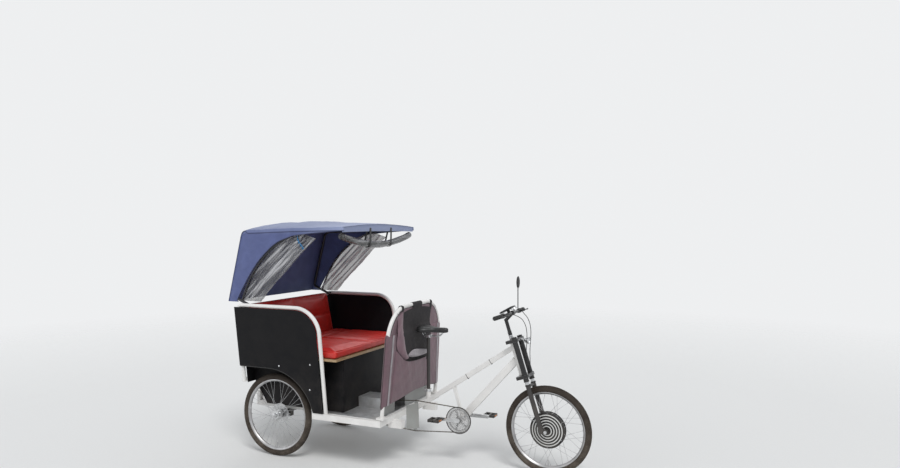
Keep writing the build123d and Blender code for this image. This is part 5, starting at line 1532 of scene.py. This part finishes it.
class RICKSHAW_OT_body_trim(RickshawOperator):
    """Model the side panels' bolts and edge trims, and the deck's ribs"""

    bl_idname = "rickshaw.body_trim"
    bl_label = "Body trim"

    def execute(self, context):
        bolts = []
        for side in (-1, 1):
            normal = Vector((0, side, -PANEL_LEAN)).normalized()
            for ahead, up in ((0.098, 0.747), (0.395, 0.780), (0.373, 0.578)):
                bolts.append(Matrix.Translation(panel_face(ahead, up, side, -0.0002)) @ along(normal))
        head_profile = (
            (0.0001, 0), (0.0075, 0), (0.0075, 0.0006), (0.0062, 0.0022), (0.003, 0.0034), (0.0001, 0.0036),
        )
        head = lathe("head", (0, 0, 0), head_profile, 24, (0, 0, 1))
        dress(copies(head, bolts, "bolts"), "panel_bolts", "polished_steel", smooth=40)

        trims = []
        for side in (-1, 1):
            points = [panel_face(-0.292 + 0.29 * k / 8, 0.7205, side, -0.002) for k in range(8)]
            points += [panel_face(0.39 * sin(radians(3.3 * k)), 0.33 + 0.39 * cos(radians(3.3 * k)), side, -0.002)
                       for k in range(25)]
            trims.append(tube("trim", points, 0.0042))
        dress(join(trims, "trims"), "panel_edge_trim", "black_rubber", smooth=60)

        low, high = box_of("floor_deck")
        count = 40
        ribs = []
        for k in range(count):
            left = low.y + 0.02 + (high.y - low.y - 0.04) * k / (count - 1)
            ribs.append(Matrix.Translation((0.5 * (low.x + high.x), left, high.z + 0.0005)))
        rib = block("rib", (0, 0, 0), (high.x - low.x - 0.02, 0.004, 0.0016), bevel=0.0006, segments=1)
        dress(copies(rib, ribs, "ribs"), "deck_ribs", "deck_alloy", smooth=40)
        return {"FINISHED"}


def belt_line(wheels):
    """Points and headings along a chain outside a ring of wheels, each given as ahead, up and radius."""
    runs = []
    count = len(wheels)
    for i, (x, z, radius) in enumerate(wheels):
        other = wheels[(i + 1) % count]
        run = Vector((other[0] - x, other[1] - z))
        angle = math.atan2(run.y, run.x) - math.acos((radius - other[2]) / run.length)
        runs.append(angle)
    line = []
    for i, (x, z, radius) in enumerate(wheels):
        start, end = runs[i - 1], runs[i]
        turn = (end - start) % (2 * pi)
        steps = max(2, int(turn / radians(3)))
        for k in range(steps + 1):
            angle = start + turn * k / steps
            line.append((x + radius * cos(angle), z + radius * sin(angle)))
    return line + line[:1]


class RICKSHAW_OT_drive(RickshawOperator):
    """Model the chain's links, the chainring behind its clear guard, and the pedals"""

    bl_idname = "rickshaw.drive"
    bl_label = "Chain drive"

    def execute(self, context):
        line = [place(x, CHAIN_LANE, z) for x, z in belt_line(CHAIN_WHEELS)]
        total = sum((b - a).length for a, b in zip(line, line[1:]))
        count = 2 * round(total / (2 * CHAIN_PITCH))
        pitch = total / count
        places, run, i = [], 0.0, 0
        for k in range(count):
            wanted = k * pitch
            while run + (line[i + 1] - line[i]).length < wanted:
                run += (line[i + 1] - line[i]).length
                i += 1
            step = (line[i + 1] - line[i]).normalized()
            where = line[i] + step * (wanted - run)
            places.append(Matrix.Translation(where) @ Matrix.Rotation(-math.atan2(step.z, step.x), 4, "Y"))
        for kind, chosen, half, pin_r, pin_w, replaced in (
            ("outer", places[::2], 0.0037, 0.0019, 0.0092, ["chain"]),
            ("inner", places[1::2], 0.0026, 0.0036, 0.0052, []),
        ):
            plates = []
            for side in (-1, 1):
                plates += [cylinder(10, 0.0040, 0.001, (end, side * half, 0), CROSSWAYS) for end in (0, pitch)]
                plates.append(block("waist", (pitch / 2, side * half, 0), (pitch, 0.001, 0.0052), bevel=0))
            plates.append(cylinder(8, pin_r, pin_w, turn=CROSSWAYS))
            for plate in plates:
                pick(plate)
                bpy.ops.object.transform_apply(location=True, rotation=True, scale=True)
            links = copies(join(plates, "link"), chosen, "links")
            dress(links, f"chain_links_{kind}", "chain_steel", replaced=replaced, smooth=40)

        gear = Vector((BRACKET.x, CHAIN_LANE, BRACKET.z))
        guard = gear - Vector((0, GUARD_OUT, 0))
        dress(flat_ring("rim", guard, 0.0985, 0.1048, 0.0026), "chainring_rim", "black_plastic", "crankset", smooth=40)
        dress(flat_ring("plate", guard, 0.012, 0.099, 0.001), "chainring_guard_plate", "guard_plate", "crankset",
              smooth=40)
        bolt_heads("chainring_bolts", facing_ring(guard, 0.052, ARMS, 36), "crankset", 16, bevel=0.001, steps=2,
                   smooth=40)
        tooth = block("tooth", (0, 0, 0), (0.0040, 0.0024, 0.0048), bevel=0.0008)
        arm = block("spoke", (0, 0, 0), (0.017, 0.005, 0.056), bevel=0.0018, segments=3)
        hub_profile = ((0.0105, -0.006), (0.024, -0.006), (0.028, -0.003), (0.028, 0.003), (0.0105, 0.004))
        parts = [
            flat_ring("band", gear, 0.076, 0.0858, 0.0015), lathe("hub", gear, hub_profile, 48),
            copies(tooth, radial_ring(gear, 0.0872, TEETH), "teeth"),
            copies(arm, radial_ring(gear, 0.052, ARMS, 54), "arms"),
        ]
        dress(join(parts, "chainring"), "chainring_with_teeth", "polished_alloy", "crankset", replaced=["chainring"])

        for side, name in SIDES:
            joint = Vector(JOINTS[f"pedal_{name}_spin"]["pos_m"])
            middle = Vector((joint.x, side * PEDAL_Y, joint.z))
            parts = [block("bar", middle + Vector((x, 0, 0)), (0.014, 0.084, 0.022), bevel=0.003, segments=3)
                     for x in (-0.039, 0.039)]
            parts += [block("bar", middle + Vector((0, y, 0)), (0.070, 0.009, 0.020), bevel=0.002)
                      for y in (-0.0375, 0.0375)]
            parts.append(rod("barrel", middle + Vector((0, -0.040, 0)), middle + Vector((0, 0.040, 0)), 0.0105, 20))
            parts += [block("pin", middle + Vector((x, -0.033 + 0.011 * k, up)), (0.0032, 0.004, 0.0025), bevel=0)
                      for x in (-0.041, -0.036, 0.036, 0.041) for k in range(7) for up in (-0.0112, 0.0112)]
            dress(join(parts, "pedal"), f"pedal_cage_{name}", "black_plastic", f"pedal_{name}",
                  replaced=[f"pedal_{name}"], smooth=40)
            shine = [block("reflector", middle + Vector((x, 0, 0)), (0.003, 0.045, 0.011), bevel=0.001)
                     for x in (-0.0465, 0.0465)]
            dress(join(shine, "reflectors"), f"pedal_reflectors_{name}", "amber_lens", f"pedal_{name}",
                  smooth=40)
        return {"FINISHED"}


def bar_point(side, inset, ahead=0.0, up=0.0):
    """A point by the handlebar's end stretch, this far in from the tip, square to the bar and above it."""
    run = BAR_AHEAD - BAR_BACK + inset * sin(BAR_SWEEP) + ahead * cos(BAR_SWEEP)
    left = side * (BAR_HALF_W - inset * cos(BAR_SWEEP) + ahead * sin(BAR_SWEEP))
    return on_steering(run, left, BAR_UP + up)


def bar_out(side):
    """The direction outwards along the handlebar's end stretch."""
    return (bar_point(side, 0) - bar_point(side, 0.1)).normalized()


class RICKSHAW_OT_handlebar(RickshawOperator):
    """Model the stem, grips, brake levers, bell, mirror, headlamp, display, bolts and fork seals"""

    bl_idname = "rickshaw.handlebar"
    bl_label = "Handlebar fittings"

    def execute(self, context):
        grip_profile = [(BAR_R, 0.0), (0.0158, 0.0), (0.0158, 0.004)]
        for k in range(17):
            start = 0.006 + 0.0062 * k
            grip_profile += [
                (0.0149, start), (0.0160, start + 0.0012), (0.0160, start + 0.0040), (0.0149, start + 0.0052),
            ]
        grip_profile += [(0.0160, 0.115), (0.0160, 0.1185), (0.0145, 0.120), (BAR_R, 0.120)]
        grips, levers = [], []
        for side in (-1, 1):
            out = bar_out(side)
            turn = Matrix((STEER_AHEAD, out, STEER_UP)).transposed()
            blade = [bar_point(side, *spot) for spot in (
                (0.140, 0.044, -0.004), (0.118, 0.047, -0.005), (0.085, 0.045, -0.006), (0.055, 0.041, -0.006),
                (0.036, 0.043, -0.006),
            )]
            grips.append(lathe("grip", bar_point(side, 0.12), grip_profile, 32, out))
            levers += [
                collar("clamp", bar_point(side, 0.154), BAR_R, 0.0182, 0.026, (0.0007, 0.002), 28, out),
                block("body", bar_point(side, 0.142, 0.031, -0.004), (0.030, 0.018, 0.017), turn, 0.004, 3),
                tube("lever", blade, 0.0045, 12),
            ]
            ball(16, 10, 0.0065, blade[-1])
            levers.append(settle("knob"))
        dress(join(grips, "grips"), "ribbed_grips", "black_rubber", "steering", replaced=["grips"], smooth=50)
        dress(join(levers, "levers"), "brake_lever_set", "black_plastic", "steering", replaced=["brake_levers"],
              smooth=40)

        head, grip = on_steering(-0.006, 0, 0.425), on_steering(BAR_AHEAD, 0, BAR_UP)
        column_profile = (
            (0.0001, 0), (0.0145, 0), (0.0145, 0.034), (0.0150, 0.036), (0.0150, 0.062), (0.0138, 0.066),
            (0.0138, 0.148), (0.0150, 0.152), (0.0150, 0.160), (0.0001, 0.161),
        )
        parts = [
            lathe("column", on_steering(0, 0, STEM_FOOT), column_profile, 36, STEER_UP),
            rod("arm", head, head + (grip - head) * 0.82, 0.0135, 28),
            collar("hold", grip - Vector((0, 0.023, 0)), BAR_BORE, 0.0180, 0.046, (0.0004, 0.001), 36),
            block("pinch", on_steering(-0.0100, 0, STEM_FOOT + 0.049), (0.009, 0.020, 0.024), STEER_TURN, 0.002, 3),
        ]
        dress(join(parts, "stem"), "stem_column", "black_metal", "steering", replaced=["stem"], smooth=40)
        spacer = ((0.0140, 0), (0.0150, 0.0004), (0.0150, 0.0086), (0.0140, 0.009))
        parts = [lathe("ring", on_steering(0, 0, STEM_FOOT + high), spacer, 36, STEER_UP)
                 for high in (0.002, 0.013, 0.024)]
        parts += [rod("bolt", on_steering(-0.0115, -0.0115, STEM_FOOT + high),
                      on_steering(-0.0115, 0.0115, STEM_FOOT + high), 0.0028, 12) for high in (0.043, 0.055)]
        parts += [rod("bolt", on_steering(BAR_AHEAD + 0.0165, left, BAR_UP + rise),
                      on_steering(BAR_AHEAD + 0.0178, left, BAR_UP + rise), 0.0026, 12)
                  for left in (-0.015, 0.015) for rise in (-0.003, 0.003)]
        dress(join(parts, "spacers"), "stem_spacers", "polished_alloy", "steering", smooth=40)

        base = on_steering(BAR_AHEAD, 0.052, BAR_UP + BAR_BORE)
        dome_profile = (
            (0.0001, 0.0365), (0.009, 0.0358), (0.017, 0.0325), (0.0228, 0.0270), (0.0258, 0.0200), (0.0268, 0.0140),
            (0.0258, 0.0140), (0.0245, 0.0200), (0.0215, 0.0262), (0.016, 0.0310), (0.0085, 0.0342), (0.0001, 0.0348),
        )
        foot_profile = ((0.0001, 0), (0.0075, 0), (0.0075, 0.004), (0.004, 0.006), (0.004, 0.0345), (0.0001, 0.0345))
        thumb = base + STEER_UP * 0.010
        parts = [
            lathe("dome", base, dome_profile, 48, STEER_UP), lathe("foot", base, foot_profile, 24, STEER_UP),
            tube("thumb", [thumb, thumb + Vector((0, -0.016, 0)),
                           thumb + STEER_UP * 0.004 + Vector((-0.004, -0.028, 0))], 0.0022),
        ]
        dress(join(parts, "bell"), "bell_dome", "polished_steel", "steering", replaced=["bell"], smooth=50)

        low, high = box_of("mirror")
        foot = bar_point(1, 0.19)
        glass = Vector((foot.x - 0.001, (low.y + high.y) / 2, high.z - 0.048))
        shell = ball(40, 24, 1)
        for vertex in shell.data.vertices:
            x, y, z = vertex.co
            vertex.co = glass + Vector(((0.0105 if x > 0 else 0.004) * x, 0.032 * y, 0.048 * z))
        parts = [
            shell, rod("rod", foot, Vector((foot.x, foot.y, glass.z - 0.04)), 0.0038, 14),
            collar("clamp", bar_point(1, 0.197), BAR_R, 0.016, 0.014, (0.0005, 0.002), 24, bar_out(1)),
        ]
        dress(join(parts, "mirror"), "mirror_housing", "black_plastic", "steering", replaced=["mirror"], smooth=50)
        pane_profile = ((0.0001, -0.0007), (0.9, -0.0007), (0.93, 0.0), (0.9, 0.0009), (0.0001, 0.0009))
        pane = lathe("pane", glass - Vector((0.0046, 0, 0)), pane_profile, 48, (1, 0, 0))
        for vertex in pane.data.vertices:
            offset = vertex.co - glass
            vertex.co.y = glass.y + offset.y * 0.0305
            vertex.co.z = glass.z + offset.z * 0.0465
        dress(pane, "mirror_glass", "mirror_silver", "steering", smooth=30)

        low, high = box_of("headlamp")
        centre = Vector((high.x - 0.040, 0, (high.z + low.z) / 2))
        bowl_profile = (
            (0.0001, 0.0), (0.010, 0.0), (0.0165, 0.004), (0.0215, 0.014), (0.0258, 0.030), (0.027, 0.034),
            (0.027, 0.0395), (0.0245, 0.0395), (0.0238, 0.032), (0.0001, 0.012),
        )
        parts = [
            lathe("bowl", centre, bowl_profile, 48, (1, 0, 0)),
            rod("bracket", on_steering(*LAMP_BRACKET), centre + Vector((0.006, 0, 0.002)), 0.006, 16),
        ]
        dress(join(parts, "lamp"), "headlamp_bowl", "polished_alloy", "steering", replaced=["headlamp"], smooth=50)
        lens_profile = ((0.0001, 0.036), (0.012, 0.0355), (0.024, 0.033), (0.024, 0.031), (0.0001, 0.031))
        dress(lathe("lens", centre, lens_profile, 48, (1, 0, 0)), "headlamp_lens", "lamp_glass", "steering",
              smooth=50)

        slope = Matrix.Rotation(-math.atan2(0.5, 0.87), 3, "Y")
        body = on_steering(BAR_AHEAD - 0.006, DISPLAY_LEFT, BAR_UP + BAR_BORE) + slope @ Vector((0, 0, 0.024))
        parts = [
            block("case", body, (0.110, 0.086, 0.012), slope, 0.004, 3),
            block("clamp", on_steering(BAR_AHEAD - 0.006, DISPLAY_LEFT, BAR_UP + 0.021), (0.022, 0.018, 0.022),
                  Matrix.Rotation(-radians(17.6), 3, "Y"), 0.003, 2),
        ]
        parts += [block("button", body + slope @ Vector((-0.042, y, 0.0065)), (0.010, 0.014, 0.003), slope, 0.001)
                  for y in (-0.026, 0.0, 0.026)]
        dress(join(parts, "display"), "display_case", "black_plastic", "steering", replaced=["display"], smooth=40)
        screen = block("screen", body + slope @ Vector((0.010, 0, 0.0062)), (0.070, 0.068, 0.0012), slope, 0.0005)
        dress(screen, "display_screen", "screen_glass", "steering", smooth=30)

        bolts = []
        for ahead, left, up, way in (
            (BAR_AHEAD, 0.014, BAR_UP + 0.0115, STEER_UP), (0.071, 0.045, -0.012, STEER_AHEAD),
            (0.071, 0.045, 0.264, STEER_AHEAD), (FORK_LEG_AHEAD, FORK_LEG_Y, 0.290, STEER_UP),
        ):
            bolts += [Matrix.Translation(on_steering(ahead, side * left, up)) @ along(way) for side in (1, -1)]
        bolt_heads("steering_bolts", bolts, "steering")
        seals = []
        for side in (-1, 1):
            for height, radius in ((-0.083, 0.0205), (-0.052, 0.0215)):
                lip = ((0.0152, 0), (radius, 0), (radius, 0.003), (radius - 0.0015, 0.0095), (0.0152, 0.0095))
                seals.append(lathe("seal", on_steering(FORK_LEG_AHEAD, side * FORK_LEG_Y, height), lip, 32, STEER_UP))
        dress(join(seals, "seals"), "fork_seals", "black_rubber", "steering", smooth=40)
        return {"FINISHED"}


class RICKSHAW_OT_saddle(RickshawOperator):
    """Model the padded saddle with its stitched edge"""

    bl_idname = "rickshaw.saddle"
    bl_label = "Saddle"

    def execute(self, context):
        def half_width(run):
            """Half the saddle's width at a share of its length from the rear."""
            return 0.026 + 0.0735 / (1 + math.exp((run - 0.42) * 13))

        def shell(u, v):
            """The saddle's section, drawn in at both ends."""
            ends = max(0.0, 1 - abs(2 * u - 1) ** 7) ** 0.45
            half = half_width(u) * ends
            angle = 2 * pi * v
            y = math.copysign(abs(cos(angle)) ** 0.75, cos(angle)) * half
            top = 0.030 + 0.012 * (1 - u) ** 2 - 0.006 * sin(pi * u)
            rise = sin(angle)
            z = 0.018 + (top * abs(rise) ** 0.8 if rise > 0 else -0.017 * abs(rise) ** 0.5) * (0.35 + 0.65 * ends)
            dent = -0.006 * math.exp(-(y / 0.014) ** 2) * sin(pi * u) if rise > 0 else 0
            return place(SADDLE_REAR[0] + SADDLE_LENGTH * u, y, SADDLE_REAR[1] + z + dent)

        seat = sheet_grid("saddle", 60, 48, shell)
        outward(seat)
        dress(seat, "saddle_shell", "saddle_black", replaced=["saddle"], smooth=60)
        edge = [shell(k / 24, 0.002) for k in range(1, 24)] + [shell(1 - k / 24, 0.498) for k in range(1, 24)]
        dress(tube("edge", edge, 0.002, closed=True), "saddle_piping", "black_rubber", smooth=60)
        return {"FINISHED"}


class RICKSHAW_OT_frame_details(RickshawOperator):
    """Model the bands on the main beam, the axle's bolts and the curtain's cord tie"""

    bl_idname = "rickshaw.frame_details"
    bl_label = "Frame details"

    def execute(self, context):
        slope = math.atan2(BEAM_HEAD[1] - BEAM_FOOT[1], BEAM_HEAD[0] - BEAM_FOOT[0])
        turn = Matrix.Rotation(-slope, 3, "Y")
        bands = []
        for ahead in (1.47, 1.665):
            centre = place(ahead, 0, BEAM_FOOT[1] + (ahead - BEAM_FOOT[0]) * math.tan(slope))
            lock = centre + turn @ Vector((0, -0.010, -0.022))
            bands.append(block("band", centre, (0.006, 0.0405, 0.0405), turn, 0.0045, 3))
            bands.append(block("lock", lock, (0.008, 0.007, 0.005), turn, 0.001))
        dress(join(bands, "bands"), "beam_bands", "black_plastic", smooth=40)

        bolts = []
        for side in (-1, 1):
            bolts += [Matrix.Translation(place(x, side * (AXLE_CLAMP_Y + 0.019), up)) @ along((0, side, 0))
                      for x in (-0.033, 0.033) for up in (0.306, 0.340)]
            bolts += facing_ring(place(0, DRUM_Y + side * 0.056, AXLE_UP), 0.040, 8, 22.5, side)
        bolt_heads("axle_bolts", bolts)

        cord = [place(*spot) for spot in (
            (0.262, -0.556, 1.772), (0.268, -0.560, 1.740), (0.30, -0.562, 1.706), (0.322, -0.558, 1.678),
            (0.312, -0.548, 1.665), (0.285, -0.544, 1.690), (0.255, -0.548, 1.735), (0.262, -0.552, 1.772),
        )]
        dress(tube("cord", cord, 0.0035), "curtain_tie", "blue_cord", smooth=60)
        return {"FINISHED"}


OPERATORS = (
    RICKSHAW_OT_finishes,
    RICKSHAW_OT_stage,
    RICKSHAW_OT_tyres,
    RICKSHAW_OT_wheels,
    RICKSHAW_OT_hub_motor,
    RICKSHAW_OT_hood,
    RICKSHAW_OT_curtains,
    RICKSHAW_OT_rolled_curtain,
    RICKSHAW_OT_cushions,
    RICKSHAW_OT_front_cover,
    RICKSHAW_OT_body_trim,
    RICKSHAW_OT_drive,
    RICKSHAW_OT_handlebar,
    RICKSHAW_OT_saddle,
    RICKSHAW_OT_frame_details,
)


class RICKSHAW_PT_panel(bpy.types.Panel):
    """The rickshaw's sizes, colours and pieces in the sidebar"""

    bl_label = "Cycle rickshaw"
    bl_idname = "RICKSHAW_PT_panel"
    bl_space_type = "VIEW_3D"
    bl_region_type = "UI"
    bl_category = "Rickshaw"

    def draw(self, context):
        for settings in (context.scene.rickshaw_sizes, context.scene.rickshaw_colours):
            box = self.layout.box()
            for name in settings.__annotations__:
                box.prop(settings, name)
        for operator in OPERATORS:
            self.layout.operator(operator.bl_idname)


CLASSES = (RickshawSizes, RickshawColours, *OPERATORS, RICKSHAW_PT_panel)


def register():
    """Register the classes and the scene's settings."""
    for item in CLASSES:
        bpy.utils.register_class(item)
    bpy.types.Scene.rickshaw_sizes = bpy.props.PointerProperty(type=RickshawSizes)
    bpy.types.Scene.rickshaw_colours = bpy.props.PointerProperty(type=RickshawColours)


def unregister():
    """Remove the scene's settings and the classes."""
    del bpy.types.Scene.rickshaw_colours
    del bpy.types.Scene.rickshaw_sizes
    for item in reversed(CLASSES):
        bpy.utils.unregister_class(item)


def main():
    """Build every piece in order."""
    register()
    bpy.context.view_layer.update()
    for operator in OPERATORS:
        family, name = operator.bl_idname.split(".")
        getattr(getattr(bpy.ops, family), name)()


if __name__ == "__main__":
    main()
